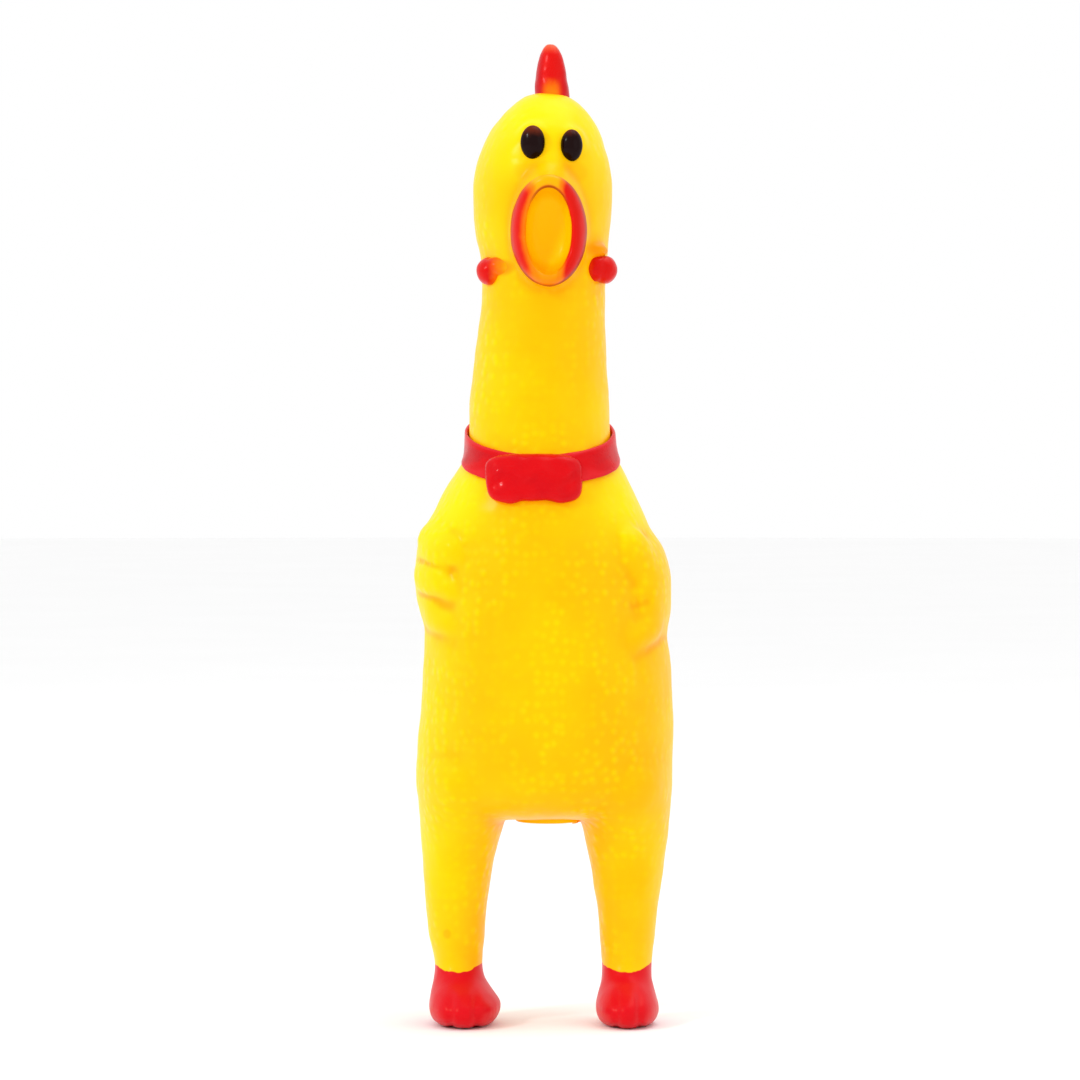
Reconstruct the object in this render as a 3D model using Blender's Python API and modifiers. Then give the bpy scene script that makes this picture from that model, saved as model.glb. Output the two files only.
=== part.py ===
"""Rubber chicken: a hollow vinyl skin that bends at its neck, hips and ankles, with a reed squeaker in its underside.

Units are metres, +Z is up, and the chicken stands on its soles at z = 0 and faces -Y. Left and right are its own, so
its left is +X. The skin is one moulding, sectioned here where it bends: a fold piece fills each bend. Every body has
an empty on its joint's axis, and its pieces hang from that empty.
"""

import math
from collections import namedtuple

import bmesh
import bpy
from mathutils import Matrix, Vector

# Fits
WALL = 0.0020  # the vinyl's thickness
SOLE_WALL = 0.0030
GAP = 0.0003  # between pieces that meet
PANEL_GAP = 0.0006  # round the belly panel, which slides
BOND = 0.0004  # between a raised painted form and the skin under it

# Heights, from the floor up
FOOT_HEIGHT = 0.0195
ANKLE_FOLD = 0.0070
SHANK_LENGTH = 0.0252
HIP_FOLD = 0.0120
TORSO_LENGTH = 0.1261
NECK_FOLD = 0.0157
NECK_LENGTH = 0.0100
HEAD_FOLD = 0.0140
HEAD_HEIGHT = 0.0626
COMB_HEIGHT = 0.0155

# Legs and feet
SHANK_SPACING = 0.0540  # between the legs' middles at the ankles
THIGH_WIDTH = 0.0280
THIGH_DEPTH = 0.0290
THIGH_RISE = 0.0180  # how far each thigh runs up into the torso
ANKLE_WIDTH = 0.0158
ANKLE_DEPTH = 0.0180
FOOT_WIDTH = 0.0216
FOOT_LENGTH = 0.0340
TOE_REACH = 0.0240  # how far the toes stand in front of the ankle's middle
INSTEP_HEIGHT = 0.0110
SOLE_EDGE = 0.0015  # height of the rounding round the sole

# Torso
TORSO_WIDTH = 0.0812
TORSO_DEPTH = 0.0630
BELLY_FORWARD = 0.0015  # how far the torso's middle sits in front of the neck's
WIDTH_OVER_WINGS = 0.0832
WING_HEIGHT = 0.0750  # of the wings' middle, above the hips
WING_ARM = Vector((0.0120, 0.0240, 0.0300))  # the upper arm's full size
WING_ARM_AT = Vector((0.0060, -0.0060, 0.0030))  # its middle: in from the widest point, and from the wings' middle
FEATHER = Vector((0.0200, 0.0130, 0.0105))
FEATHER_AT = Vector((0.0115, -0.0195, 0.0040))
FEATHER_PITCH = 0.0115
FEATHER_TURN = 0.45  # radians, inwards across the chest
FEATHERS = {1: 2, -1: 3}  # on the left and on the right wing
TAIL_HEIGHT = 0.0240  # of the tail's middle, above the hips
TAIL_WIDTH = 0.0160
TAIL_LENGTH = 0.0180
TAIL_RISE = 0.0240
PANEL_WIDTH = 0.0480
PANEL_HEIGHT = 0.0600
PANEL_MIDDLE = 0.0640  # above the hips

# Neck, collar and bow
NECK_BASE_WIDTH = 0.0446
NECK_BASE_DEPTH = 0.0424
NECK_TOP_WIDTH = 0.0388
NECK_TOP_DEPTH = 0.0392
COLLAR_HEIGHT = 0.0086
COLLAR_THICKNESS = 0.0013
COLLAR_MIDDLE = 0.0094  # below the top of the torso
COLLAR_TILT = math.radians(13)  # its front is the low side
BOW_WIDTH = 0.0305
BOW_HEIGHT = 0.0150
BOW_THICKNESS = 0.0090
BOW_DROP = 0.0185  # of its middle, below the top of the torso
BOW_SHIFT = -0.0026
BOW_LOOP = 0.56  # of the bow's width
BOW_LOOP_OUT = 0.22
BOW_KNOT = Vector((0.26, 1.15, 0.70))  # of the bow's width, thickness and height
CHEST_SPAN = 0.0400  # how much of the torso's top the collar and bow are fitted to

# Head
HEAD_WIDTH = 0.0442
HEAD_DEPTH = 0.0450
COMB_LENGTH = 0.0330
COMB_THICKNESS = 0.0100
COMB_LEAN = 0.0008
COMB_SHIFT = 0.0030
COMB_BACK = 0.0020  # of the comb's middle, behind the neck's
COMB_ROOT = 0.0115  # how deep its solid starts in the head, before the head is cut from it
COMB_RIDGE = 0.30  # rise of the ridge under the points, at its lowest
COMB_ARCH = 0.34  # how much higher the ridge is at its middle
COMB_ARCH_SPAN = 1.1
COMB_THINNING = 0.55
COMB_POINTS = ((0.27, 0.18), (0.29, 0.36), (0.25, 0.26), (0.19, 0.15))  # width and rise, front to back
BEAK_ROOT = 0.60  # of the head's half depth
BEAK_FLARE = 1.32  # how much bigger it is at its root
BEAK_FLARE_CURVE = 1.5
BEAK_REACH = 0.0285  # of the beak's rim, in front of the neck's middle
BEAK_WIDTH = 0.0240
BEAK_HEIGHT = 0.0347
BEAK_GAPE = 0.0070  # how far the mouth's corners sit behind the beak's tips
BEAK_TILT = 0.0030  # how far the upper tip stands in front of the lower
MOUTH_WIDTH = 0.0158
MOUTH_HEIGHT = 0.0300
MOUTH_DEPTH = 0.0080
MOUTH_MIDDLE = 0.0181  # above the head's lower edge
MOUTH_SHIFT = 0.0021
LIP_THICKNESS = 0.0026
LIP_PROFILE = ((1.0, 0.0), (0.96, 0.7), (0.55, 1.0), (0.05, 0.7), (0.0, 0.0))  # outwards and forwards
EYE_WIDTH = 0.0073
EYE_HEIGHT = 0.0101
EYE_DEPTH = 0.0042
EYE_SPACING = 0.0126
EYE_SHIFT = 0.0035
EYE_MIDDLE = 0.0455  # above the head's lower edge
WATTLE_WIDTH = 0.0092
WATTLE_HEIGHT = 0.0098
WATTLE_DEPTH = 0.0110
WATTLE_MIDDLE = 0.0069  # above the head's lower edge
WATTLE_FORWARD = 0.0090

# Squeaker
PORT_WIDTH = 0.0160
PORT_SHIFT = 0.0020
PORT_FIT = 0.00015  # between the housing and the port, all round
FLANGE_OVERLAP = 0.0018  # how far the flange covers the skin round the port
FLANGE_THICKNESS = 0.0012
BARB = 0.0010
BARB_HEIGHT = 0.0020
HOUSING_LENGTH = 0.0290
HOUSING_WALL = 0.0012
GRILLE_THICKNESS = 0.0014
GRILLE_HOLE = 0.0020
GRILLE_HOLES_ROUND = 6
GRILLE_RING = 0.58  # of the bore's radius
LEDGE = 0.0006  # the lip that the grille and the reed block stop on
LEDGE_HEIGHT = 0.0010
REED_WIDTH = 0.0050
REED_THICKNESS = 0.0003
REED_CLAMPED = 0.0010
CHANNEL_WIDTH = 0.0032
CHANNEL_DEPTH = 0.0030
WEDGE_LENGTH = 0.0070

# Between the legs' middles at the crotch: the squeaker's flange just fits between the thighs.
HIP_SPACING = THIGH_WIDTH + PORT_WIDTH + 2 * (FLANGE_OVERLAP + PORT_SHIFT)

SIDES = 24
SMALL_SIDES = 16
HOLE_SIDES = 8
POINT_STEPS = 6
RINGS_APART = 0.0015  # the least distance between two rings of a form
PROBE = 0.0010  # the step over which a surface's slope is read
MARGIN = 0.0100  # how far a cutter runs past what it cuts

ANKLE_LOW = FOOT_HEIGHT + GAP
SHANK_LOW = ANKLE_LOW + ANKLE_FOLD + GAP
HIP_LOW = SHANK_LOW + SHANK_LENGTH + GAP
TORSO_LOW = HIP_LOW + HIP_FOLD + GAP
TORSO_TOP = TORSO_LOW + TORSO_LENGTH
NECK_FOLD_LOW = TORSO_TOP + GAP
NECK_LOW = NECK_FOLD_LOW + NECK_FOLD + GAP
HEAD_FOLD_LOW = NECK_LOW + NECK_LENGTH + GAP
HEAD_LOW = HEAD_FOLD_LOW + HEAD_FOLD + GAP
HEAD_TOP = HEAD_LOW + HEAD_HEIGHT
TORSO_FRONT = -TORSO_DEPTH / 2 - BELLY_FORWARD
TORSO_BOTTOM = TORSO_LOW + GAP  # the flat land between the legs, round the squeaker's port

Section = namedtuple("Section", "height width depth forward")

# Heights are shares of the piece's own height, and widths and depths are shares of its own half width and depth.
TORSO_OUTLINE = (
    Section(0.000, 0.80, 0.42, 0.3),
    Section(0.016, 0.93, 0.66, 0.7),
    Section(0.050, 0.985, 0.83, 1.0),
    Section(0.095, 1.00, 0.92, 1.0),
    Section(0.200, 0.99, 0.98, 1.0),
    Section(0.340, 0.965, 1.00, 1.0),
    Section(0.530, 0.94, 0.97, 0.7),
    Section(0.650, 0.90, 0.91, 0.3),
    Section(0.740, 0.83, 0.85, 0.1),
    Section(0.810, 0.745, 0.79, 0.0),
    Section(0.870, 0.650, 0.73, 0.0),
)
HEAD_OUTLINE = (
    Section(0.000, 0.878, 0.871, 0.0),
    Section(0.180, 0.912, 0.920, 0.0),
    Section(0.420, 0.990, 0.985, 0.0),
    Section(0.560, 1.000, 1.000, 0.0),
    Section(0.680, 0.920, 0.945, 0.0),
    Section(0.800, 0.790, 0.820, 0.0),
    Section(0.890, 0.610, 0.640, 0.0),
    Section(0.960, 0.410, 0.430, 0.0),
    Section(1.000, 0.130, 0.130, 0.0),
)

NECK_ROOT = 0.925  # share of the torso's height where the neck's taper starts
NECK_ROOT_FLARE = (1.035, 1.025, 0.0)
HIP_SHARE = 0.72  # share of the leg's form that is below the torso
LEG_OUTLINE = (
    Section(0.24, 0.68, 0.72, 0.0),
    Section(0.48, 0.81, 0.83, 0.0),
    Section(HIP_SHARE, 1.0, 1.0, 0.0),
    Section(1.0, 1.06, 1.08, 0.0),
)
# The foot from the ankle down: height, and how far its section has turned from the ankle's oval to the sole's.
FOOT_STEPS = (
    (FOOT_HEIGHT, 0.0),
    ((FOOT_HEIGHT + INSTEP_HEIGHT) / 2, 0.12),
    (INSTEP_HEIGHT, 0.62),
    (INSTEP_HEIGHT / 2, 1.0),
)
SOLE_ROUNDING = (0.97, 0.88)  # shares of the sole's size at its edge and on the floor
SOLE_INSIDE = 0.92
TUBE_WAIST = 0.995  # how slightly a straight tube draws in at its middle

VINYL = ("yellow_vinyl", (1.0, 0.72, 0.0), 0.42)
FEET = ("red_feet", (0.80, 0.01, 0.03), 0.35)
COMB = ("red_comb", (0.72, 0.02, 0.01), 0.38)
WATTLE = ("red_wattle", (0.85, 0.02, 0.01), 0.38)
LIP = ("orange_red_lip", (0.85, 0.06, 0.01), 0.38)
EYE = ("black_eye", (0.02, 0.008, 0.006), 0.20)
COLLAR = ("red_collar", (0.75, 0.01, 0.03), 0.28)
BOW = ("red_bow", (0.75, 0.01, 0.03), 0.22)
PLASTIC = ("white_plastic", (0.86, 0.86, 0.82), 0.45)
FILM = ("clear_film", (0.80, 0.82, 0.84), 0.15)


def clear_scene():
    for thing in list(bpy.data.objects):
        bpy.data.objects.remove(thing, do_unlink=True)


def collection(name):
    made = bpy.data.collections.new(name)
    bpy.context.scene.collection.children.link(made)
    return made


def finish_of(kind):
    """The Principled material for one of the finishes above, made once."""
    name, colour, roughness = kind
    made = bpy.data.materials.get(name)
    if made is None:
        made = bpy.data.materials.new(name)
        made.use_nodes = True
        shader = made.node_tree.nodes["Principled BSDF"]
        shader.inputs["Base Color"].default_value = (*colour, 1.0)
        shader.inputs["Roughness"].default_value = roughness
        shader.inputs["Metallic"].default_value = 0.0
    return made


def between(outline, share):
    """The section at this share of an outline's height, on a smooth curve through its sections."""
    share = min(max(share, outline[0].height), outline[-1].height)
    i = max(k for k in range(len(outline) - 1) if outline[k].height <= share)
    low, high = outline[i], outline[i + 1]
    before, after = outline[max(i - 1, 0)], outline[min(i + 2, len(outline) - 1)]
    span = high.height - low.height
    t = (share - low.height) / span

    def smooth(a, p, q, b):
        start = (q - a) / (high.height - before.height) * span
        end = (b - p) / (after.height - low.height) * span
        rise = 3 * t**2 - 2 * t**3
        return p + (q - p) * rise + start * (t**3 - 2 * t**2 + t) + end * (t**3 - t**2)

    values = [smooth(*four) for four in list(zip(before, low, high, after))[1:]]
    return Section(share, *values)


class Form:
    """An upright form of oval sections. Its rings can be moved in from its surface, or out by a negative inset."""

    def __init__(self, outline, low, height, width, depth, middle=lambda share: (0.0, 0.0)):
        self.outline = outline
        self.low = low
        self.height = height
        self.half = (width / 2, depth / 2)
        self.middle = middle

    def ring(self, z, inset=0.0):
        """(middle, sideways, forward) of the section at this height."""
        section = between(self.outline, (z - self.low) / self.height)
        x, y = self.middle(section)
        sideways = Vector((section.width * self.half[0] - inset, 0, 0))
        forward = Vector((0, section.depth * self.half[1] - inset, 0))
        return Vector((x, y, z)), sideways, forward

    def rings(self, start, end, inset=0.0):
        """Rings from one height to the other, at the outline's own heights and halfway between them."""
        own = [self.low + s.height * self.height for s in self.outline]
        own += [(a + b) / 2 for a, b in zip(own, own[1:])]
        low, high = min(start, end), max(start, end)
        heights = [low, *sorted(z for z in own if low + RINGS_APART < z < high - RINGS_APART), high]
        if start > end:
            heights.reverse()
        return [self.ring(z, inset) for z in heights]

    def front(self, x, z):
        """The point of its front surface at this x and z, and the outward normal there."""
        middle, sideways, forward = self.ring(z)
        across = (x - middle.x) / sideways.x
        point = Vector((x, middle.y - forward.y * math.sqrt(1 - across**2), z))
        above = self.ring(z + PROBE)
        rise = above[0].y - above[2].y * math.sqrt(1 - ((x - above[0].x) / above[1].x) ** 2) - point.y
        flat = Vector((across / sideways.x, (point.y - middle.y) / forward.y**2, 0)).normalized()
        return point, (flat + Vector((0, 0, -rise / PROBE * flat.y))).normalized()


def straight(low_width, low_depth, high_width, high_depth):
    """The outline of a tapered tube, as shares of its lower size."""
    return (
        Section(0.0, 1.0, 1.0, 0.0),
        Section(
            0.5, (1 + high_width / low_width) / 2 * TUBE_WAIST, (1 + high_depth / low_depth) / 2 * TUBE_WAIST, 0.0
        ),
        Section(1.0, high_width / low_width, high_depth / low_depth, 0.0),
    )


def torso_form():
    end = (NECK_BASE_WIDTH / TORSO_WIDTH, NECK_BASE_DEPTH / TORSO_DEPTH, 0.0)
    above = [size * flare for size, flare in zip(end, NECK_ROOT_FLARE)]
    outline = (*TORSO_OUTLINE, Section(NECK_ROOT, *above), Section(1.0, *end))
    low = TORSO_BOTTOM
    return Form(
        outline, low, TORSO_TOP - low, TORSO_WIDTH, TORSO_DEPTH, lambda s: (0.0, -s.forward * BELLY_FORWARD)
    )


def neck_form():
    outline = straight(NECK_BASE_WIDTH, NECK_BASE_DEPTH, NECK_TOP_WIDTH, NECK_TOP_DEPTH)
    return Form(outline, TORSO_TOP, HEAD_LOW - TORSO_TOP, NECK_BASE_WIDTH, NECK_BASE_DEPTH)


def head_form():
    return Form(HEAD_OUTLINE, HEAD_LOW, HEAD_HEIGHT, HEAD_WIDTH, HEAD_DEPTH)


def leg_form(side):
    """One leg, from its ankle to well inside the torso. side is 1 for the left and -1 for the right."""
    height = (TORSO_LOW - FOOT_HEIGHT) / HIP_SHARE
    outline = (Section(0.0, ANKLE_WIDTH / THIGH_WIDTH, ANKLE_DEPTH / THIGH_DEPTH, 0.0), *LEG_OUTLINE)

    def middle(section):
        spacing = SHANK_SPACING + (HIP_SPACING - SHANK_SPACING) * min(section.height / HIP_SHARE, 1.0) ** 2
        return side * spacing / 2, 0.0

    return Form(outline, FOOT_HEIGHT, height, THIGH_WIDTH, THIGH_DEPTH, middle)


def loft(name, rings, sides=SIDES, ends="capped"):
    """A skin over rings of (middle, one half axis, other half axis). ends is capped, or joined into a closed loop."""
    bm = bmesh.new()
    bmesh.ops.create_circle(bm, segments=sides, radius=1.0)
    unit = [v.co.copy() for v in bm.verts]
    loop = list(bm.verts)
    edges = list(bm.edges)
    first_edges = edges
    for i, (middle, u, v) in enumerate(rings):
        if i:
            made = bmesh.ops.extrude_edge_only(bm, edges=edges)["geom"]
            below = loop
            edges = [e for e in made if isinstance(e, bmesh.types.BMEdge) and not set(e.verts) & set(below)]
            loop = [next(e.other_vert(b) for e in b.link_edges if e.other_vert(b) in made) for b in below]
        for vert, at in zip(loop, unit):
            vert.co = middle + u * at.x + v * at.y
    if ends == "capped":
        bmesh.ops.holes_fill(bm, edges=first_edges + edges)
    else:
        bmesh.ops.bridge_loops(bm, edges=first_edges + edges)
    return object_of(name, bm)


def object_of(name, bm):
    """A smooth-shaded object of this bmesh, in no collection yet."""
    bmesh.ops.recalc_face_normals(bm, faces=bm.faces)
    mesh = bpy.data.meshes.new(name)
    bm.to_mesh(mesh)
    bm.free()
    mesh.shade_smooth()
    mesh.set_sharp_from_angle(angle=math.radians(40))
    return bpy.data.objects.new(name, mesh)


def helper(thing):
    """Puts a shape that only cuts or joins others in the helpers' collection, out of the render."""
    bpy.data.collections["helpers"].objects.link(thing)
    thing.hide_render = True
    thing.display_type = "WIRE"
    return thing


def combine(target, operation, *others):
    for other in others:
        step = target.modifiers.new(f"{operation.lower()} {other.name}", "BOOLEAN")
        step.operation = operation
        step.solver = "EXACT"
        step.object = other
    return target


def turned_to(normal):
    """The rotation that turns a form's front, -Y, to this direction."""
    return Vector((0, -1, 0)).rotation_difference(normal).to_matrix().to_4x4()


def ball(name, middle, size, turn=None, segments=SMALL_SIDES):
    """An ellipsoid of this full size (x, y, z), turned about its own middle."""
    bm = bmesh.new()
    bmesh.ops.create_uvsphere(bm, u_segments=segments, v_segments=segments * 5 // 8, radius=0.5)
    place = Matrix.Translation(middle) @ (turn or Matrix()) @ Matrix.Diagonal((*size, 1.0))
    bmesh.ops.transform(bm, matrix=place, verts=bm.verts)
    return object_of(name, bm)


def block(name, low, high, turn=None):
    bm = bmesh.new()
    bmesh.ops.create_cube(bm, size=1.0)
    size = Vector(high) - Vector(low)
    place = Matrix.Translation((Vector(low) + Vector(high)) / 2) @ (turn or Matrix())
    bmesh.ops.transform(bm, matrix=place @ Matrix.Diagonal((*size, 1.0)), verts=bm.verts)
    return object_of(name, bm)


def rod(name, low, height, radius, segments=SMALL_SIDES):
    """An upright cylinder that stands on the point low."""
    bm = bmesh.new()
    place = Matrix.Translation(Vector(low) + Vector((0, 0, height / 2)))
    bmesh.ops.create_cone(
        bm, cap_ends=True, segments=segments, radius1=radius, radius2=radius, depth=height, matrix=place
    )
    return object_of(name, bm)


def turned(name, profile, axis_x, segments=SIDES):
    """A turned shape from a closed profile of (radius, z), which runs down its outer side."""
    bm = bmesh.new()
    points = [bm.verts.new((r, 0, z)) for r, z in profile]
    for a, b in zip(points, points[1:] + points[:1]):
        bm.edges.new((a, b))
    mesh = bpy.data.meshes.new(name)
    bm.to_mesh(mesh)
    bm.free()
    made = bpy.data.objects.new(name, mesh)
    made.location.x = axis_x
    screw = made.modifiers.new("turn", "SCREW")
    screw.steps = screw.render_steps = segments
    screw.use_merge_vertices = True
    screw.merge_threshold = 0.00001
    screw.use_smooth_shade = True
    return made


class Chicken:
    """Keeps the collection, and hangs each piece from its body's empty."""

    def __init__(self):
        self.pieces = collection("rubber chicken")
        collection("helpers")
        self.bodies = {}

    def body(self, name, pivot, parent=None):
        empty = bpy.data.objects.new(f"{name}_pivot", None)
        empty.empty_display_size = 0.01
        self.pieces.objects.link(empty)
        if parent:
            empty.parent = self.bodies[parent]
            pivot_from = self.bodies[parent].matrix_world.translation
        else:
            pivot_from = Vector()
        empty.location = Vector(pivot) - pivot_from
        bpy.context.view_layer.update()
        self.bodies[name] = empty

    def add(self, thing, body, kind):
        """Gives the piece its finish, and hangs it from its body's empty where it stands."""
        self.pieces.objects.link(thing)
        thing.parent = self.bodies[body]
        thing.location -= self.bodies[body].matrix_world.translation
        thing.data.materials.append(finish_of(kind))
        return thing


def tube_wall(name, form, low, high):
    """An open tube of the skin, WALL thick, between two heights of a form."""
    rings = form.rings(low, high) + form.rings(high, low, WALL)
    return loft(name, rings, ends="joined")


def gaping(thing):
    """Opens a flat-fronted beak shape: its corners go back, and its upper tip goes forward of its lower one."""
    middle_z = HEAD_LOW + MOUTH_MIDDLE
    for vert in thing.data.vertices:
        across = (vert.co.x - MOUTH_SHIFT) / (BEAK_WIDTH / 2)
        up = (vert.co.z - middle_z) / BEAK_HEIGHT
        vert.co.y += BEAK_GAPE * across**2 - BEAK_TILT * up
    return thing


def build_head(chicken):
    form = head_form()
    middle_z = HEAD_LOW + MOUTH_MIDDLE

    def beak(name, inset):
        front = Vector((MOUTH_SHIFT, -BEAK_REACH + inset, middle_z))
        root_depth = BEAK_ROOT * HEAD_DEPTH / 2
        rings = []
        for share in (0.0, 0.5, 1.0):
            size = 1 + (BEAK_FLARE - 1) * (1 - share) ** BEAK_FLARE_CURVE
            y = -root_depth + (front.y + root_depth) * share
            u = Vector((BEAK_WIDTH / 2 * size - inset, 0, 0))
            v = Vector((0, 0, BEAK_HEIGHT / 2 * size - inset))
            lift = (size - 1) * BEAK_HEIGHT / 2  # keeps the lower side level, clear of the head's lower edge
            rings.append((Vector((front.x, y, front.z + lift)), u, v))
        shares = (0.7, 0.4, 0.1)
        middle, u, v = rings[-1]
        rings += [(middle, u * share, v * share) for share in shares]
        return helper(gaping(loft(name, rings)))

    def dish(name, grow):
        size = (MOUTH_WIDTH + 2 * grow, 2 * (MOUTH_DEPTH + grow), MOUTH_HEIGHT + 2 * grow)
        return helper(gaping(ball(name, Vector((MOUTH_SHIFT, -BEAK_REACH - GAP, middle_z)), size)))

    hollow = helper(loft("head hollow", form.rings(HEAD_LOW - MARGIN, HEAD_TOP - WALL, WALL)))
    combine(hollow, "UNION", beak("beak hollow", WALL))
    combine(hollow, "DIFFERENCE", dish("mouth wall", WALL))
    skin = loft("head_skin", form.rings(HEAD_LOW, HEAD_TOP))
    combine(skin, "UNION", beak("beak outside", 0.0))
    combine(skin, "DIFFERENCE", dish("mouth", 0.0), hollow)
    chicken.add(skin, "head", VINYL)

    lip = []
    for share, y in LIP_PROFILE:
        u = Vector((MOUTH_WIDTH / 2 + share * (BEAK_WIDTH - MOUTH_WIDTH) / 2, 0, 0))
        v = Vector((0, 0, MOUTH_HEIGHT / 2 + share * (BEAK_HEIGHT - MOUTH_HEIGHT) / 2))
        lip.append((Vector((MOUTH_SHIFT, -BEAK_REACH - GAP - y * LIP_THICKNESS, middle_z)), u, v))
    chicken.add(gaping(loft("beak_rim", lip, ends="joined")), "head", LIP)

    around = helper(loft("skin round the eyes and comb", form.rings(HEAD_LOW - MARGIN, HEAD_TOP + BOND, -BOND)))
    for name, side in (("left_eye", 1), ("right_eye", -1)):
        point, normal = form.front(EYE_SHIFT + side * EYE_SPACING / 2, HEAD_LOW + EYE_MIDDLE)
        eye = ball(name, point, (EYE_WIDTH, EYE_DEPTH, EYE_HEIGHT), turned_to(normal))
        chicken.add(combine(eye, "DIFFERENCE", around), "head", EYE)
    for name, side in (("left_wattle", 1), ("right_wattle", -1)):
        z = HEAD_LOW + WATTLE_MIDDLE
        middle, sideways, forward = form.ring(z)
        x = side * sideways.x * math.sqrt(1 - (WATTLE_FORWARD / forward.y) ** 2)
        size = (WATTLE_WIDTH, WATTLE_DEPTH, WATTLE_HEIGHT)
        wattle = ball(name, Vector((x, middle.y - WATTLE_FORWARD, z)), size)
        chicken.add(combine(wattle, "DIFFERENCE", around), "head", WATTLE)
    chicken.add(combine(comb(), "DIFFERENCE", around), "head", COMB)


def comb():
    """A fin of rounded points along the top of the head, thinner and leaning to the left towards its tips."""
    base = HEAD_TOP - COMB_ROOT
    full_height = COMB_HEIGHT + COMB_ROOT
    points = []
    start = 0.5  # along the comb's length, from its front to its back
    for width, height in COMB_POINTS:
        for i in range(POINT_STEPS):
            angle = math.pi * i / POINT_STEPS
            along = start - width / 2 * (1 - math.cos(angle))
            ridge = COMB_RIDGE + COMB_ARCH * math.cos(math.pi * along / COMB_ARCH_SPAN)
            points.append((along, ridge + height * math.sin(angle)))
        start -= width
    points += [(start, COMB_RIDGE), (start, 0.0), (0.5, 0.0)]
    tallest = max(rise for along, rise in points)
    bm = bmesh.new()
    outline = []
    for along, rise in points:
        outline.append(bm.verts.new((0, COMB_BACK - along * COMB_LENGTH, base + full_height * rise / tallest)))
    face = bm.faces.new(outline)
    pushed = bmesh.ops.extrude_face_region(bm, geom=[face])["geom"]
    far = [v for v in pushed if isinstance(v, bmesh.types.BMVert)]
    bmesh.ops.translate(bm, verts=far, vec=(COMB_THICKNESS, 0, 0))
    for vert in bm.verts:
        rise = (vert.co.z - base) / full_height
        thin = 1 - COMB_THINNING * max(rise - COMB_RIDGE, 0.0)
        vert.co.x = COMB_SHIFT + (vert.co.x - COMB_THICKNESS / 2) * thin + COMB_LEAN * rise
    bmesh.ops.bevel(
        bm,
        geom=[e for e in bm.edges if abs(e.verts[0].co.x - e.verts[1].co.x) < COMB_THICKNESS / 4],
        offset=COMB_THICKNESS / 5,
        segments=1,
        profile=0.5,
        affect="EDGES",
        material=-1,
        clamp_overlap=True,
    )
    bmesh.ops.triangulate(bm, faces=bm.faces)
    return object_of("comb", bm)


def wing(side):
    """One folded wing as a helper: the upper arm down the side, and its feather ends laid forward on the chest."""

    def beside(at, drop=0.0):
        """A point given from this side's widest point and the wings' middle height."""
        return Vector((side * (WIDTH_OVER_WINGS / 2 - at.x), at.y, TORSO_LOW + WING_HEIGHT + at.z - drop))

    arm = helper(ball(f"wing {side}", beside(WING_ARM_AT), WING_ARM))
    turn = Matrix.Rotation(side * FEATHER_TURN, 4, "Z")
    for i in range(FEATHERS[side]):
        feather = ball(f"wing {side} feather {i}", beside(FEATHER_AT, i * FEATHER_PITCH), FEATHER, turn)
        combine(arm, "UNION", helper(feather))
    return arm


def build_torso(chicken):
    form = torso_form()
    skin = loft("torso_skin", form.rings(TORSO_BOTTOM, TORSO_TOP))
    hollow = loft("torso hollow", form.rings(TORSO_BOTTOM + WALL, TORSO_TOP + MARGIN, WALL))
    helper(hollow)
    outside = helper(loft("torso outside", form.rings(TORSO_BOTTOM, TORSO_TOP)))
    for side in (1, -1):
        leg = leg_form(side)
        thigh_top = TORSO_LOW + THIGH_RISE
        thigh = helper(loft(f"thigh {side}", leg.rings(TORSO_LOW, thigh_top)))
        bore = helper(loft(f"thigh hollow {side}", leg.rings(TORSO_LOW - MARGIN, thigh_top - WALL, WALL)))
        combine(skin, "UNION", thigh)
        combine(hollow, "UNION", bore)
    combine(skin, "UNION", wing(-1), wing(1))
    tail_reach = -TORSO_FRONT  # the tail stands as far behind as the belly does in front
    tail = ball(
        "tail",
        (0, tail_reach - TAIL_LENGTH / 2, TORSO_LOW + TAIL_HEIGHT),
        (TAIL_WIDTH, TAIL_LENGTH, TAIL_RISE),
    )
    combine(skin, "UNION", helper(tail))
    port = rod("port", (PORT_SHIFT, 0, TORSO_BOTTOM - MARGIN), 2 * MARGIN, PORT_WIDTH / 2, SIDES)
    window = prism("belly window", PANEL_GAP)
    combine(skin, "DIFFERENCE", hollow, helper(port), helper(window))
    chicken.add(skin, "torso", VINYL)

    panel = prism("belly_panel", 0.0)
    combine(panel, "INTERSECT", outside)
    combine(panel, "DIFFERENCE", hollow)
    chicken.add(panel, "belly", VINYL)


def prism(name, grow):
    """An oval bar along Y through the belly, from its front to the torso's middle."""
    z = TORSO_LOW + PANEL_MIDDLE
    u = Vector((PANEL_WIDTH / 2 + grow, 0, 0))
    v = Vector((0, 0, PANEL_HEIGHT / 2 + grow))
    return loft(name, [(Vector((0, y, z)), u, v) for y in (TORSO_FRONT - MARGIN, 0.0)])


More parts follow.
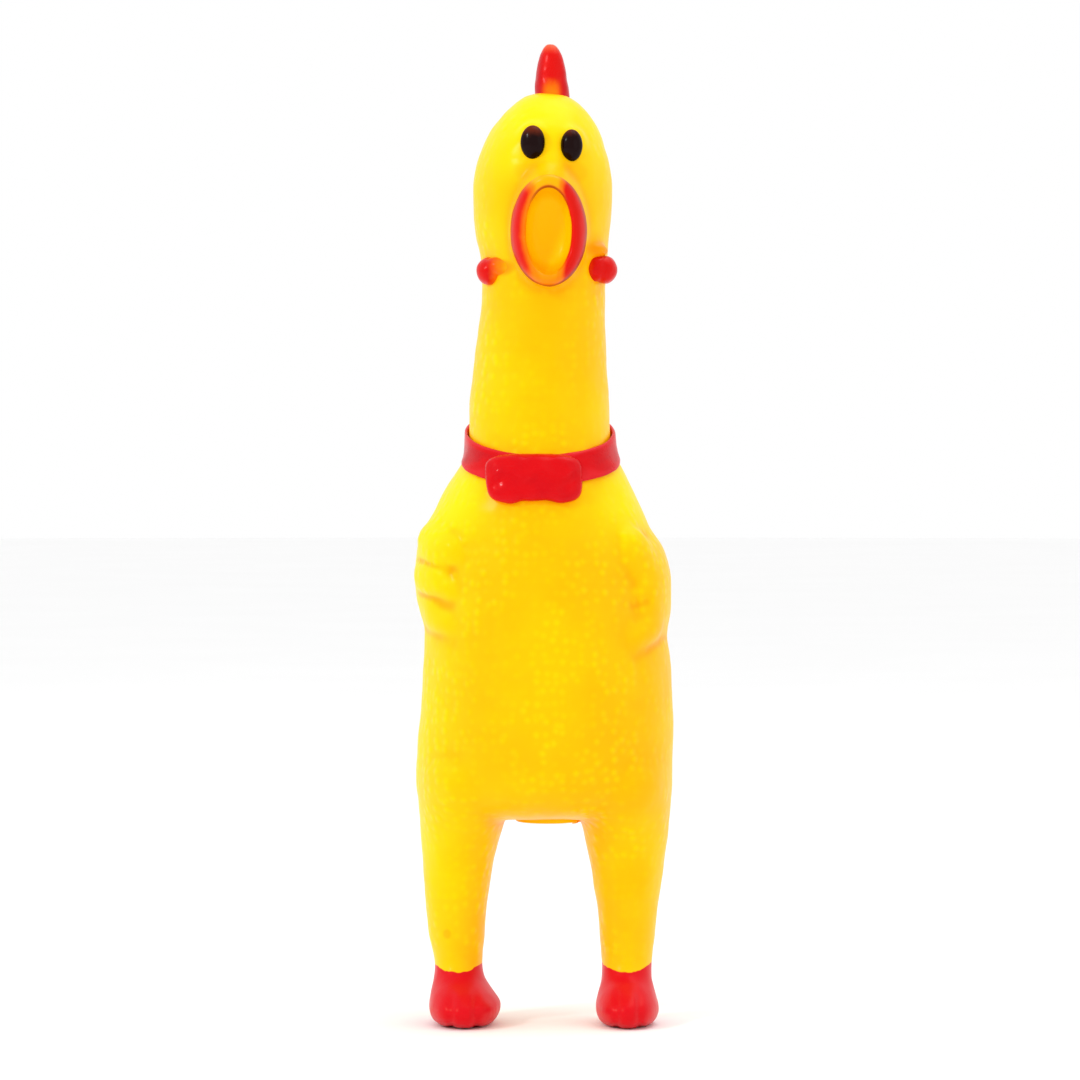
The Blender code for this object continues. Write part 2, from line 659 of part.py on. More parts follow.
def build_collar(chicken):
    form = torso_form()
    over = MARGIN + TORSO_TOP
    z = TORSO_TOP - COLLAR_MIDDLE
    band = block(
        "collar_band",
        (-TORSO_WIDTH, -TORSO_WIDTH, z - COLLAR_HEIGHT / 2),
        (TORSO_WIDTH, TORSO_WIDTH, z + COLLAR_HEIGHT / 2),
        Matrix.Rotation(COLLAR_TILT, 4, "X"),
    )
    low = TORSO_TOP - CHEST_SPAN
    outside = helper(loft("collar outside", form.rings(low, over, -BOND - COLLAR_THICKNESS)))
    inside = helper(loft("collar inside", form.rings(low - MARGIN, over + MARGIN, -BOND)))
    combine(band, "INTERSECT", outside)
    combine(band, "DIFFERENCE", inside)
    chicken.add(band, "torso", COLLAR)

    z = TORSO_TOP - BOW_DROP
    front = form.front(BOW_SHIFT, z)[0]
    size = (BOW_WIDTH * BOW_LOOP, BOW_THICKNESS, BOW_HEIGHT)
    swing = BOW_WIDTH * BOW_LOOP_OUT
    bow = ball("bow_tie", front + Vector((swing, 0, 0)), size)
    other = ball("bow loop", front + Vector((-swing, 0, 0)), size)
    knot = ball("bow knot", front, BOW_KNOT * Vector((BOW_WIDTH, BOW_THICKNESS, BOW_HEIGHT)))
    combine(bow, "UNION", helper(other), helper(knot))
    behind = -2 * BOND - COLLAR_THICKNESS
    combine(bow, "DIFFERENCE", helper(loft("chest behind the bow", form.rings(low - MARGIN, over, behind))))
    chicken.add(bow, "torso", BOW)


def build_neck(chicken):
    form = neck_form()
    neck_fold = tube_wall("neck_fold", form, NECK_FOLD_LOW, NECK_FOLD_LOW + NECK_FOLD)
    chicken.add(neck_fold, "torso", VINYL)
    chicken.add(tube_wall("neck_skin", form, NECK_LOW, NECK_LOW + NECK_LENGTH), "neck", VINYL)
    head_fold = tube_wall("head_fold", form, HEAD_FOLD_LOW, HEAD_FOLD_LOW + HEAD_FOLD)
    chicken.add(head_fold, "neck", VINYL)


def build_leg(chicken, name, side):
    form = leg_form(side)
    chicken.add(tube_wall(f"{name}_hip_fold", form, HIP_LOW, HIP_LOW + HIP_FOLD), "torso", VINYL)
    chicken.add(tube_wall(f"{name}_leg_skin", form, SHANK_LOW, SHANK_LOW + SHANK_LENGTH), f"{name}_leg", VINYL)
    ankle = tube_wall(f"{name}_ankle_fold", form, ANKLE_LOW, ANKLE_LOW + ANKLE_FOLD)
    chicken.add(ankle, f"{name}_leg", VINYL)

    top, u, v = form.ring(FOOT_HEIGHT)
    toe = Vector((0, -TOE_REACH + FOOT_LENGTH / 2, 0))

    def ring(z, share, width, inset):
        """A section of the foot: share 0 is the ankle's oval and 1 the sole's."""
        middle = Vector((top.x, top.y, z)) + toe * share
        half_width = u.x + (FOOT_WIDTH / 2 * width - u.x) * share - inset
        half_length = v.y + (FOOT_LENGTH / 2 * width - v.y) * share - inset
        return middle, Vector((half_width, 0, 0)), Vector((0, half_length, 0))

    inner = [ring(z, share, 1.0, WALL) for z, share in FOOT_STEPS]
    inner.append(ring(SOLE_WALL, 1.0, SOLE_INSIDE, WALL))
    outer = [ring(z, share, 1.0, 0.0) for z, share in FOOT_STEPS]
    outer.append(ring(SOLE_EDGE, 1.0, SOLE_ROUNDING[0], 0.0))
    outer.append(ring(0.0, 1.0, SOLE_ROUNDING[1], 0.0))
    chicken.add(loft(f"{name}_foot", inner[::-1] + outer), f"{name}_foot", FEET)


def build_squeaker(chicken, reed_pivot_z):
    radius = PORT_WIDTH / 2 - PORT_FIT
    bore = radius - HOUSING_WALL
    flange_top = TORSO_BOTTOM - GAP
    low = flange_top - FLANGE_THICKNESS
    barb_low = TORSO_BOTTOM + WALL + GAP
    barb_top = barb_low + BARB_HEIGHT
    seat = low + GRILLE_THICKNESS + 2 * GAP
    flange = PORT_WIDTH / 2 + FLANGE_OVERLAP
    top = low + HOUSING_LENGTH
    grille_bore = bore + GAP
    profile = (
        (radius, top),
        (radius, barb_top),
        (radius + BARB, barb_low),
        (radius, barb_low),
        (radius, flange_top),
        (flange, flange_top),
        (flange, low + FLANGE_THICKNESS / 3),
        (flange - FLANGE_THICKNESS / 2, low),
        (grille_bore, low),
        (grille_bore, seat),
        (bore - LEDGE, seat),
        (bore - LEDGE, seat + LEDGE_HEIGHT),
        (bore, seat + LEDGE_HEIGHT),
        (bore, top),
    )
    chicken.add(turned("squeaker_housing", profile, PORT_SHIFT), "torso", PLASTIC)

    grille = rod("squeaker_grille", (PORT_SHIFT, 0, low + GAP), GRILLE_THICKNESS, grille_bore - GAP, SIDES)
    for i in range(GRILLE_HOLES_ROUND + 1):
        angle = 2 * math.pi * i / GRILLE_HOLES_ROUND
        out = GRILLE_RING * bore if i < GRILLE_HOLES_ROUND else 0.0
        at = (PORT_SHIFT + out * math.cos(angle), out * math.sin(angle), low - MARGIN)
        hole = rod(f"grille hole {i}", at, 2 * MARGIN, GRILLE_HOLE / 2, HOLE_SIDES)
        combine(grille, "DIFFERENCE", helper(hole))
    chicken.add(grille, "torso", PLASTIC)

    inner = bore - GAP
    start = seat + LEDGE_HEIGHT + GAP
    length = top - GAP - start
    wedge_low = reed_pivot_z
    reed_near = GAP
    reed_far = reed_near + REED_THICKNESS
    wide = 2 * radius

    reed_block = rod("reed_block", (PORT_SHIFT, 0, start), length, inner, SIDES)
    half = block("space above the reed block", (-wide, 0, start - MARGIN), (wide, wide, top + MARGIN))
    channel = block(
        "air channel",
        (PORT_SHIFT - CHANNEL_WIDTH / 2, -CHANNEL_DEPTH, start - MARGIN),
        (PORT_SHIFT + CHANNEL_WIDTH / 2, MARGIN, wedge_low - 2 * REED_CLAMPED),
    )
    combine(reed_block, "DIFFERENCE", helper(half), helper(channel))
    chicken.add(reed_block, "torso", PLASTIC)

    wedge = rod("reed_wedge", (PORT_SHIFT, 0, wedge_low), WEDGE_LENGTH, inner, SIDES)
    under = block(
        "space under the wedge", (-wide, -wide, wedge_low - MARGIN), (wide, reed_far + GAP, top + MARGIN)
    )
    combine(wedge, "DIFFERENCE", helper(under))
    chicken.add(wedge, "torso", PLASTIC)

    reed = block(
        "reed",
        (PORT_SHIFT - REED_WIDTH / 2, reed_near, start + GAP),
        (PORT_SHIFT + REED_WIDTH / 2, reed_far, wedge_low + REED_CLAMPED),
    )
    chicken.add(reed, "reed", FILM)


def main():
    clear_scene()
    chicken = Chicken()
    hip_pivot = HIP_LOW + HIP_FOLD / 2
    ankle_pivot = ANKLE_LOW + ANKLE_FOLD / 2
    housing_top = TORSO_BOTTOM - GAP - FLANGE_THICKNESS + HOUSING_LENGTH
    reed_pivot = housing_top - GAP - WEDGE_LENGTH
    chicken.body("torso", (0, 0, TORSO_LOW))
    chicken.body("belly", (0, TORSO_FRONT, TORSO_LOW + PANEL_MIDDLE), "torso")
    chicken.body("neck", (0, 0, NECK_FOLD_LOW + NECK_FOLD / 2), "torso")
    chicken.body("head", (0, 0, HEAD_FOLD_LOW + HEAD_FOLD / 2), "neck")
    chicken.body("reed", (PORT_SHIFT, GAP + REED_THICKNESS / 2, reed_pivot), "torso")
    build_torso(chicken)
    build_collar(chicken)
    build_neck(chicken)
    build_head(chicken)
    build_squeaker(chicken, reed_pivot)
    for name, side in (("left", 1), ("right", -1)):
        hip = leg_form(side).ring(hip_pivot)[0]
        ankle = leg_form(side).ring(ankle_pivot)[0]
        chicken.body(f"{name}_leg", hip, "torso")
        chicken.body(f"{name}_foot", ankle, f"{name}_leg")
        build_leg(chicken, name, side)


main()
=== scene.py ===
"""The looks of a rubber chicken: vinyl skin, sprayed paint, collar, bow and squeaker, on a pale floor.

Forms are modelled in millimetres and brought to metres as each piece is finished. +Z is up and the
chicken faces -Y. Left and right are its own, so its left is +X.
"""

import math
from bisect import bisect

import bmesh
import bpy
import numpy as np
from mathutils import Matrix, Vector, noise


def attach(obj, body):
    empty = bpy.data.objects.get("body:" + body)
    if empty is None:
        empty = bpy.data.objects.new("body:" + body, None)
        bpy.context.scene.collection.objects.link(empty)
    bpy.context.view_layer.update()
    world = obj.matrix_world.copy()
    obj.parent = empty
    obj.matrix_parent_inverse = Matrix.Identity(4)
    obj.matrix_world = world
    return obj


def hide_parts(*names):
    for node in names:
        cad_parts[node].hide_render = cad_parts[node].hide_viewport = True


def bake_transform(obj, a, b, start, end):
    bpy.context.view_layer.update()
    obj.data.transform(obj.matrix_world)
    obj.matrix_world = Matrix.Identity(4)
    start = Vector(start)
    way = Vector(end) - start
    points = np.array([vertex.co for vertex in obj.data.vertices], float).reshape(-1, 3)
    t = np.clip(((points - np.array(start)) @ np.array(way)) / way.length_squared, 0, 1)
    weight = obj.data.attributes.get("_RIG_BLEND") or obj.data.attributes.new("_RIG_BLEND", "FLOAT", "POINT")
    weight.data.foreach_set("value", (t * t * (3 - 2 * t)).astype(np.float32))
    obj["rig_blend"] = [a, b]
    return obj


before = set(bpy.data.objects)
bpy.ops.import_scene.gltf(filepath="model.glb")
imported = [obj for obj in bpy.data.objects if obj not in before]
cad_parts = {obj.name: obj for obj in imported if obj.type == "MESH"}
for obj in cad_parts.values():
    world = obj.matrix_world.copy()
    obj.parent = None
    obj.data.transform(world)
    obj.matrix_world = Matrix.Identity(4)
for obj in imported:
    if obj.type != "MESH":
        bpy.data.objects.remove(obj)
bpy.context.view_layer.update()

bl_info = {
    "name": "Rubber Chicken Looks",
    "version": (1, 0, 0),
    "blender": (4, 5, 0),
    "location": "3D View > Sidebar > Chicken",
    "description": "Builds a squeaky rubber chicken's skin, paint, collar, bow and squeaker round its frame",
    "category": "Object",
}

MM = 0.001
LEAST_STEP = 0.3  # between the rings of a form

# Level sections from the floor up: height, edge at low X, edge at high X, front, back
TRUNK = (
    (65.2, -31.0, 32.0, -13.0, 12.5),
    (67.2, -37.0, 38.2, -21.5, 20.0),
    (71.5, -39.4, 40.8, -27.5, 25.5),
    (77.0, -40.0, 41.5, -30.5, 27.5),
    (88.0, -39.4, 41.6, -32.4, 29.3),
    (103.0, -38.1, 41.5, -33.0, 30.0),
    (118.0, -37.5, 40.4, -33.0, 30.0),
    (129.5, -37.0, 39.3, -32.6, 29.8),
    (137.0, -36.4, 38.3, -32.0, 29.3),
    (144.6, -35.6, 37.0, -31.0, 28.7),
    (152.0, -34.5, 35.3, -29.7, 27.8),
    (159.7, -35.0, 33.4, -28.0, 26.7),
    (167.0, -32.0, 30.0, -26.0, 25.3),
    (175.0, -27.2, 26.2, -23.8, 23.8),
    (180.0, -23.6, 23.0, -22.0, 22.1),
    (185.0, -23.0, 22.0, -21.4, 21.5),
    (190.0, -23.0, 21.5, -21.1, 21.2),
    (197.5, -23.0, 21.4, -20.7, 20.8),
    (205.0, -22.0, 20.8, -20.4, 20.4),
    (212.7, -21.1, 20.3, -20.2, 20.2),
    (220.0, -20.1, 20.2, -20.0, 20.0),
    (228.0, -19.2, 20.1, -19.8, 19.8),
    (235.0, -19.0, 20.2, -19.9, 19.9),
    (243.0, -19.6, 20.8, -20.7, 20.7),
    (250.0, -21.1, 21.4, -21.6, 21.6),
    (258.0, -21.8, 22.1, -22.2, 22.4),
    (265.6, -21.7, 22.3, -22.4, 22.6),
    (273.0, -20.3, 21.2, -21.5, 21.8),
    (277.0, -19.0, 19.9, -20.6, 21.0),
    (280.7, -17.2, 18.9, -19.2, 19.8),
    (284.5, -14.8, 17.2, -17.0, 17.6),
    (288.0, -12.0, 14.9, -14.2, 14.6),
    (291.5, -8.4, 11.6, -10.4, 10.8),
    (293.8, -4.6, 7.8, -6.6, 7.0),
    (294.8, 0.0, 3.0, -1.5, 1.5),
)
LEFT_LEG = (
    (0.0, 20.5, 33.2, -18.5, 6.0),
    (0.5, 19.0, 34.8, -20.5, 7.6),
    (2.0, 17.6, 36.3, -22.8, 9.0),
    (4.6, 16.8, 37.1, -24.0, 10.0),
    (7.0, 16.9, 36.9, -23.4, 10.1),
    (10.5, 17.9, 35.9, -19.5, 9.8),
    (14.0, 18.8, 34.9, -13.0, 9.3),
    (19.8, 18.9, 35.0, -9.4, 9.0),
    (27.0, 18.4, 35.8, -10.0, 9.8),
    (35.0, 17.7, 36.7, -11.2, 10.9),
    (42.0, 16.8, 37.8, -12.2, 11.8),
    (50.0, 15.6, 38.8, -13.4, 12.7),
    (55.0, 14.4, 39.5, -14.8, 14.0),
    (60.0, 13.2, 40.2, -17.0, 15.9),
    (65.0, 12.0, 40.7, -20.0, 18.4),
    (70.5, 11.2, 41.1, -23.6, 21.4),
    (78.0, 10.0, 41.3, -26.4, 23.4),
    (90.0, 13.0, 39.0, -20.0, 18.0),
)
RIGHT_LEG = (
    (0.0, -31.0, -17.8, -18.5, 6.0),
    (0.5, -33.0, -16.2, -20.5, 7.6),
    (2.0, -34.8, -14.6, -22.8, 9.0),
    (4.6, -35.9, -13.4, -24.0, 10.0),
    (7.0, -35.9, -13.2, -23.4, 10.1),
    (10.5, -35.3, -15.4, -19.5, 9.8),
    (14.0, -34.5, -18.0, -13.0, 9.3),
    (19.8, -34.3, -18.8, -9.4, 9.0),
    (27.0, -35.7, -18.3, -10.0, 9.8),
    (35.0, -36.8, -17.6, -11.2, 10.9),
    (42.0, -37.4, -16.7, -12.2, 11.8),
    (50.0, -37.9, -15.4, -13.4, 12.7),
    (55.0, -38.3, -14.2, -14.8, 14.0),
    (60.0, -38.6, -13.0, -17.0, 15.9),
    (65.0, -38.8, -11.7, -20.0, 18.4),
    (70.5, -39.3, -10.8, -23.6, 21.4),
    (78.0, -39.6, -9.6, -26.4, 23.4),
    (90.0, -37.5, -12.0, -20.0, 18.0),
)

# Grooves between the fingers of the wings: from (across, height) to (across, height), then depth
CREASES = (
    ((-44.0, 148.6), (-28.6, 143.8), 0.85),
    ((-42.0, 137.0), (-29.0, 133.4), 0.85),
    ((-38.0, 125.4), (-28.0, 121.8), 0.4),
    ((27.0, 133.2), (33.0, 134.4), 0.75),
    ((30.0, 117.0), (39.0, 122.4), 0.5),
)

# Rounded forms that swell out of the skin: middle, full size, turn about Z, and roll about Y
RIGHT_WING = (
    ((-29.8, 0.0, 142.0), (21.5, 40.0, 44.0), 0.0, 0.0),
    ((-31.0, -11.2, 151.6), (26.0, 12.4, 14.6), -0.98, -0.26),
    ((-32.0, -10.8, 140.2), (26.6, 13.2, 14.0), -0.98, -0.32),
    ((-30.2, -13.2, 128.4), (21.0, 11.4, 13.4), -0.98, -0.34),
)
LEFT_WING = (
    ((30.6, -1.0, 136.4), (21.6, 42.0, 43.0), 0.0, 0.0),
    ((29.0, -15.4, 145.6), (16.0, 12.8, 26.0), 0.75, 0.32),
    ((30.2, -16.8, 125.4), (21.0, 13.0, 12.6), 0.85, 0.46),
)
TAIL = (
    ((0.0, 23.5, 90.0), (22.0, 17.0, 24.0), 0.0, 0.0),
    ((0.0, 27.2, 94.5), (13.0, 11.0, 16.0), 0.0, 0.0),
)
FACE = (
    ((3.2, -16.6, 267.6), (11.0, 14.0, 18.0), 0.0, 0.0),
    ((-2.9, -17.0, 277.2), (12.0, 6.2, 15.0), -0.15, 0.0),
    ((9.4, -15.6, 276.4), (11.4, 6.2, 14.2), 0.45, 0.0),
    ((16.6, -10.6, 244.6), (8.6, 9.6, 4.8), 0.5, -0.1),
)

BEAK_FRONT = -28.5
BEAK_ROOT = -13.5
BEAK_HALF = (12.0, 17.35)
BEAK_FLARE = 0.34
MOUTH_MIDDLE = Vector((2.1, 0.0, 250.0))
MOUTH_HALF = (7.4, 13.5)
MOUTH_DEPTH = 8.4
GAPE = 7.0
BEAK_TILT = 3.0

HEAD_CUT = 212.3
COLLAR_MIDDLE = Vector((0.0, 0.0, 183.6))
COLLAR_TILT = math.radians(18)
CROTCH_CUT = 64.9
SHIN_CUT = 40.0
PAINT_CUT = 19.5
PORT_MIDDLE = Vector((2.0, 0.0, 0.0))
PORT_RADIUS = 8.05
FLANGE_RADIUS = 10.1

VINYL_SHEEN = (1.0, 0.72, 0.06, 1.0)
PAINT_SHEEN = (1.0, 0.16, 0.14, 1.0)
DIPPED_SHEEN = (1.0, 0.30, 0.14, 1.0)


class ChickenSizes(bpy.types.PropertyGroup):
    """Sizes a user would change."""

    grid: bpy.props.FloatProperty(
        name="Skin grid", description="How finely the skin is moulded", default=0.0009, unit="LENGTH"
    )
    wall: bpy.props.FloatProperty(
        name="Vinyl thickness", description="The thickness of the skin", default=0.002, unit="LENGTH"
    )
    goosebump: bpy.props.FloatProperty(
        name="Goosebump spacing",
        description="From one bump of the skin to the next",
        default=0.0031,
        unit="LENGTH",
    )
    bump_height: bpy.props.FloatProperty(
        name="Goosebump height",
        description="How far the skin's bumps stand up",
        default=0.00024,
        unit="LENGTH",
    )


def colour_setting(name, description, default):
    return bpy.props.FloatVectorProperty(
        name=name, description=description, default=default, subtype="COLOR", size=3, min=0.0, max=1.0
    )


class ChickenColours(bpy.types.PropertyGroup):
    """Colours a user would change."""

    # Lemon and amber also carry painted light and painted shade on the skin.
    lemon: colour_setting("Lemon", "The vinyl where it is palest", (1.0, 0.70, 0.0))
    amber: colour_setting("Amber", "The vinyl where it is warmest", (1.0, 0.42, 0.0))
    # Orange also serves as painted shade in the skin's deepest hollows, under the eyes and over the left
    # wattle's fold.
    orange: colour_setting("Orange", "Thin spray at the edge of the red paint", (0.95, 0.22, 0.0))
    lip_red: colour_setting("Lip red", "The sprayed red of the beak's rim", (0.66, 0.006, 0.002))
    comb_red: colour_setting("Comb red", "The red of the comb and wattles", (0.64, 0.004, 0.003))
    feet_red: colour_setting("Feet red", "The dipped paint of the feet", (0.66, 0.001, 0.010))
    ribbon_red: colour_setting("Collar red", "The gloss paint of the collar and bow", (0.63, 0.001, 0.004))
    eye_black: colour_setting("Eye black", "The eyes", (0.008, 0.001, 0.001))
    plastic: colour_setting("Squeaker white", "The squeaker's plastic", (0.80, 0.80, 0.76))


# ---------------------------------------------------------------- forms


def between(table, height):
    """The row of a table of sections at this height, on a smooth curve through its rows."""
    heights = [row[0] for row in table]
    i = min(max(bisect(heights, height) - 1, 0), len(table) - 2)
    rows = [np.array(table[k]) for k in (max(i - 1, 0), i, i + 1, min(i + 2, len(table) - 1))]
    before, low, high, after = rows
    span = high[0] - low[0]
    t = (height - low[0]) / span
    leave = (high - before) / (high[0] - before[0]) * span
    arrive = (after - low) / (after[0] - low[0]) * span
    rise = 3 * t**2 - 2 * t**3
    return low + (high - low) * rise + leave * (t**3 - 2 * t**2 + t) + arrive * (t**3 - t**2)


def oval(section, out=0.0):
    """A level ring of this section, as a function of a point on the unit circle."""
    height, low_x, high_x, front, back = section
    middle = Vector(((low_x + high_x) / 2, (front + back) / 2, height))
    wide, deep = (high_x - low_x) / 2 + out, (back - front) / 2 + out
    return lambda u: middle + Vector((wide * u.x, deep * u.y, 0))


def loft(bm, rings, sides=64, closed=False):
    """A skin over rings, each a function of a point on the unit circle. Open ends are capped."""
    loop = bmesh.ops.create_circle(bm, segments=sides, radius=1.0)["verts"]
    unit = [v.co.copy() for v in loop]
    edges = list({e for v in loop for e in v.link_edges})
    first = edges
    every = list(loop)
    for i, ring in enumerate(rings):
        if i:
            made = bmesh.ops.extrude_edge_only(bm, edges=edges)["geom"]
            new = {v for v in made if isinstance(v, bmesh.types.BMVert)}
            loop = [next(e.other_vert(b) for e in b.link_edges if e.other_vert(b) in new) for b in loop]
            edges = [e for e in made if isinstance(e, bmesh.types.BMEdge) and set(e.verts) <= new]
            every += loop
        for vert, u in zip(loop, unit):
            vert.co = ring(u)
    if closed:
        bmesh.ops.bridge_loops(bm, edges=first + edges)
    else:
        bmesh.ops.holes_fill(bm, edges=first + edges)
    return every


def stack(bm, table, step=2.0, sides=64):
    """A form through a table of level sections, with a ring at least every step."""
    low, high = table[0][0], table[-1][0]
    steps = {low + step * k for k in range(int((high - low) / step) + 1)}
    heights = sorted({row[0] for row in table} | steps)
    kept = [heights[0]]
    for height in heights[1:]:
        if height - kept[-1] > LEAST_STEP:
            kept.append(height)
    loft(bm, [oval(between(table, height)) for height in kept], sides)


def lobe(bm, middle, size, turn=0.0, roll=0.0, rounds=32):
    """A rounded swelling of this full size, rolled about Y and then turned about Z."""
    place = Matrix.Translation(middle) @ Matrix.Rotation(turn, 4, "Z") @ Matrix.Rotation(-roll, 4, "Y")
    place = place @ Matrix.Diagonal((*size, 1.0))
    ball = bmesh.ops.create_uvsphere(
        bm, u_segments=rounds, v_segments=rounds // 2, radius=0.5, matrix=place
    )
    return ball["verts"]


def gaping(verts):
    """Bends a flat-fronted beak: its corners go back, and its upper tip goes forward of its lower one."""
    for vert in verts:
        across = (vert.co.x - MOUTH_MIDDLE.x) / BEAK_HALF[0]
        up = (vert.co.z - MOUTH_MIDDLE.z) / (2 * BEAK_HALF[1])
        vert.co.y += GAPE * across**2 - BEAK_TILT * up


def linked(name, bm):
    """Turns a bmesh into an object that is linked to the scene."""
    mesh = bpy.data.meshes.new(name)
    bm.to_mesh(mesh)
    bm.free()
    made = bpy.data.objects.new(name, mesh)
    bpy.context.scene.collection.objects.link(made)
    return made


def mesh_object(name, bm):
    """An object of a new form, with its faces turned out."""
    bmesh.ops.recalc_face_normals(bm, faces=bm.faces)
    return linked(name, bm)


def modified(thing, kind, **settings):
    step = thing.modifiers.new(kind.lower(), kind)
    for name, value in settings.items():
        setattr(step, name, value)
    return step


def baked(thing):
    """Applies an object's modifiers, and returns the object."""
    bpy.context.view_layer.update()
    graph = bpy.context.evaluated_depsgraph_get()
    mesh = bpy.data.meshes.new_from_object(thing.evaluated_get(graph))
    old = thing.data
    thing.modifiers.clear()
    thing.data = mesh
    bpy.data.meshes.remove(old)
    return thing


def moulded(thing, grid, rounds):
    """Fuses overlapping forms into one skin on a grid of this size, and softens it."""
    modified(thing, "REMESH", mode="VOXEL", voxel_size=grid, use_smooth_shade=True)
    modified(thing, "SMOOTH", factor=0.5, iterations=rounds)
    return baked(thing)


def softened(thing, weights, rounds):
    """Smooths an object further where its vertices' weights, from 0 to 1, say so."""
    levels = 8
    group = thing.vertex_groups.new(name="soft")
    share = np.round(weights * levels).astype(int)
    for level in range(1, levels + 1):
        group.add(np.flatnonzero(share == level).tolist(), level / levels, "REPLACE")
    modified(thing, "SMOOTH", factor=0.5, iterations=rounds, vertex_group="soft")
    baked(thing)
    thing.vertex_groups.clear()
    return thing


def neighbours_mean(mesh, values, rounds):
    """Values of a mesh's vertices, each averaged with its neighbours this many times."""
    edges = np.zeros(len(mesh.edges) * 2, int)
    mesh.edges.foreach_get("vertices", edges)
    a, b = edges[::2], edges[1::2]
    count = np.bincount(edges, minlength=len(mesh.vertices))[:, None] + 1.0
    for _ in range(rounds):
        total = values.copy()
        for axis in range(values.shape[1]):
            column = values[:, axis]
            total[:, axis] += np.bincount(a, column[b], len(count)) + np.bincount(b, column[a], len(count))
        values = total / count
    return values


def points_of(mesh):
    points = np.zeros(len(mesh.vertices) * 3)
    mesh.vertices.foreach_get("co", points)
    return points.reshape(-1, 3)


def normals_of(mesh):
    normals = np.zeros(len(mesh.vertices) * 3, np.float32)
    mesh.vertex_normals.foreach_get("vector", normals)
    return normals.reshape(-1, 3)


def put_points(mesh, points):
    mesh.vertices.foreach_set("co", points.ravel())
    mesh.update()


def smooth_step(values, start, end):
    t = np.clip((values - start) / (end - start), 0, 1)
    return t * t * (3 - 2 * t)


def note_hollows(mesh, rounds=14, depth=0.55):
    """Writes how deep in a crease each vertex lies as the attribute hollow: 0.5 is level, less is raised."""
    points = points_of(mesh)
    apart = ((neighbours_mean(mesh, points, rounds) - points) * normals_of(mesh)).sum(1)
    hollow = mesh.attributes.new("hollow", "FLOAT", "POINT")
    hollow.data.foreach_set("value", np.clip(0.5 + apart / depth, 0, 1).astype(np.float32))


# ---------------------------------------------------------------- finishes


class Wire:
    """An output socket of a finish's nodes. Arithmetic on it adds Math nodes."""

    def __init__(self, finish, socket):
        self.finish = finish
        self.socket = socket

    def maths(self, operation, *values):
        return self.finish.node("ShaderNodeMath", {"operation": operation}, dict(enumerate(values)))

    def __add__(self, other):
        return self.maths("ADD", self, other)

    def __radd__(self, other):
        return self.maths("ADD", other, self)

    def __sub__(self, other):
        return self.maths("SUBTRACT", self, other)

    def __rsub__(self, other):
        return self.maths("SUBTRACT", other, self)

    def __mul__(self, other):
        return self.maths("MULTIPLY", self, other)

    def __rmul__(self, other):
        return self.maths("MULTIPLY", other, self)

    def __truediv__(self, other):
        return self.maths("DIVIDE", self, other)

    def __pow__(self, other):
        return self.maths("POWER", self, other)

    def size(self):
        """Its distance from 0."""
        return self.finish.node("ShaderNodeMath", {"operation": "ABSOLUTE"}, {0: self})

    def step(self, start, end):
        """0 before start, 1 after end, and smooth between them."""
        return self.finish.node(
            "ShaderNodeMapRange",
            {"interpolation_type": "SMOOTHSTEP"},
            {"Value": self, "From Min": start, "From Max": end, "To Min": 0.0, "To Max": 1.0},
        )


def socket_name(word):
    """The shader's own name for a socket, from a word such as coat_weight."""
    return word.replace("_", " ").title().replace("Ior", "IOR")


class Finish:
    """A material being put together from nodes on its Principled shader."""

    def __init__(self, name, **constants):
        self.material = bpy.data.materials.new(name)
        self.material.use_nodes = True
        self.tree = self.material.node_tree
        self.shader = self.tree.nodes["Principled BSDF"]
        for socket, value in constants.items():
            self.shader.inputs[socket_name(socket)].default_value = value
        self.position = self.node("ShaderNodeTexCoord", {}, {}, "Object")
        apart = self.node("ShaderNodeSeparateXYZ", {}, {"Vector": self.position}).socket.node
        self.x, self.y, self.z = (Wire(self, apart.outputs[k]) * (1 / MM) for k in range(3))

    def node(self, kind, settings, sockets, output=0):
        """Adds a node, sets it up, and returns one of its outputs."""
        made = self.tree.nodes.new(kind)
        for name, value in settings.items():
            setattr(made, name, value)
        for name, value in sockets.items():
            if isinstance(value, Wire):
                self.tree.links.new(value.socket, made.inputs[name])
            else:
                made.inputs[name].default_value = value
        return Wire(self, made.outputs[output])

    def mix(self, share, low, high):
        """Two colours mixed by a share from 0 to 1."""
        made = self.tree.nodes.new("ShaderNodeMix")
        made.data_type = "RGBA"
        inputs = {"Factor_Float": share, "A_Color": low, "B_Color": high}
        for socket in made.inputs:
            value = inputs.get(socket.identifier)
            if isinstance(value, Wire):
                self.tree.links.new(value.socket, socket)
            elif value is not None:
                socket.default_value = value if isinstance(value, float) else (*value[:3], 1.0)
        return Wire(self, next(o for o in made.outputs if o.identifier == "Result_Color"))

    def noise(self, size, detail=2.0, offset=0.0):
        """Soft noise from about 0 to 1 with features of this size in metres."""
        at = self.position
        if offset:
            at = self.node("ShaderNodeVectorMath", {"operation": "ADD"}, {0: at, 1: (offset, offset, offset)})
        return self.node("ShaderNodeTexNoise", {}, {"Vector": at, "Scale": 1 / size, "Detail": detail})

    def spot(self, middle, size, inner=0.35):
        """A soft spot, 1 in its middle and 0 past its full size. Both are in millimetres."""
        axes = (self.x, self.y, self.z)
        parts = [((axis - at) / (full / 2)) ** 2.0 for axis, at, full in zip(axes, middle, size)]
        return 1.0 - (parts[0] + parts[1] + parts[2]).step(inner**2, 1.0)

    def attribute(self, name):
        return self.node("ShaderNodeAttribute", {"attribute_name": name}, {}, "Fac")

    def wear(self, **wires):
        """Feeds the shader's sockets."""
        for socket, wire in wires.items():
            self.tree.links.new(wire.socket, self.shader.inputs[socket_name(socket)])
        return self.material

    def bump(self, height, distance, strength=1.0, under=None):
        sockets = {"Height": height, "Distance": distance, "Strength": strength}
        if under:
            sockets["Normal"] = under
        return self.node("ShaderNodeBump", {}, sockets)


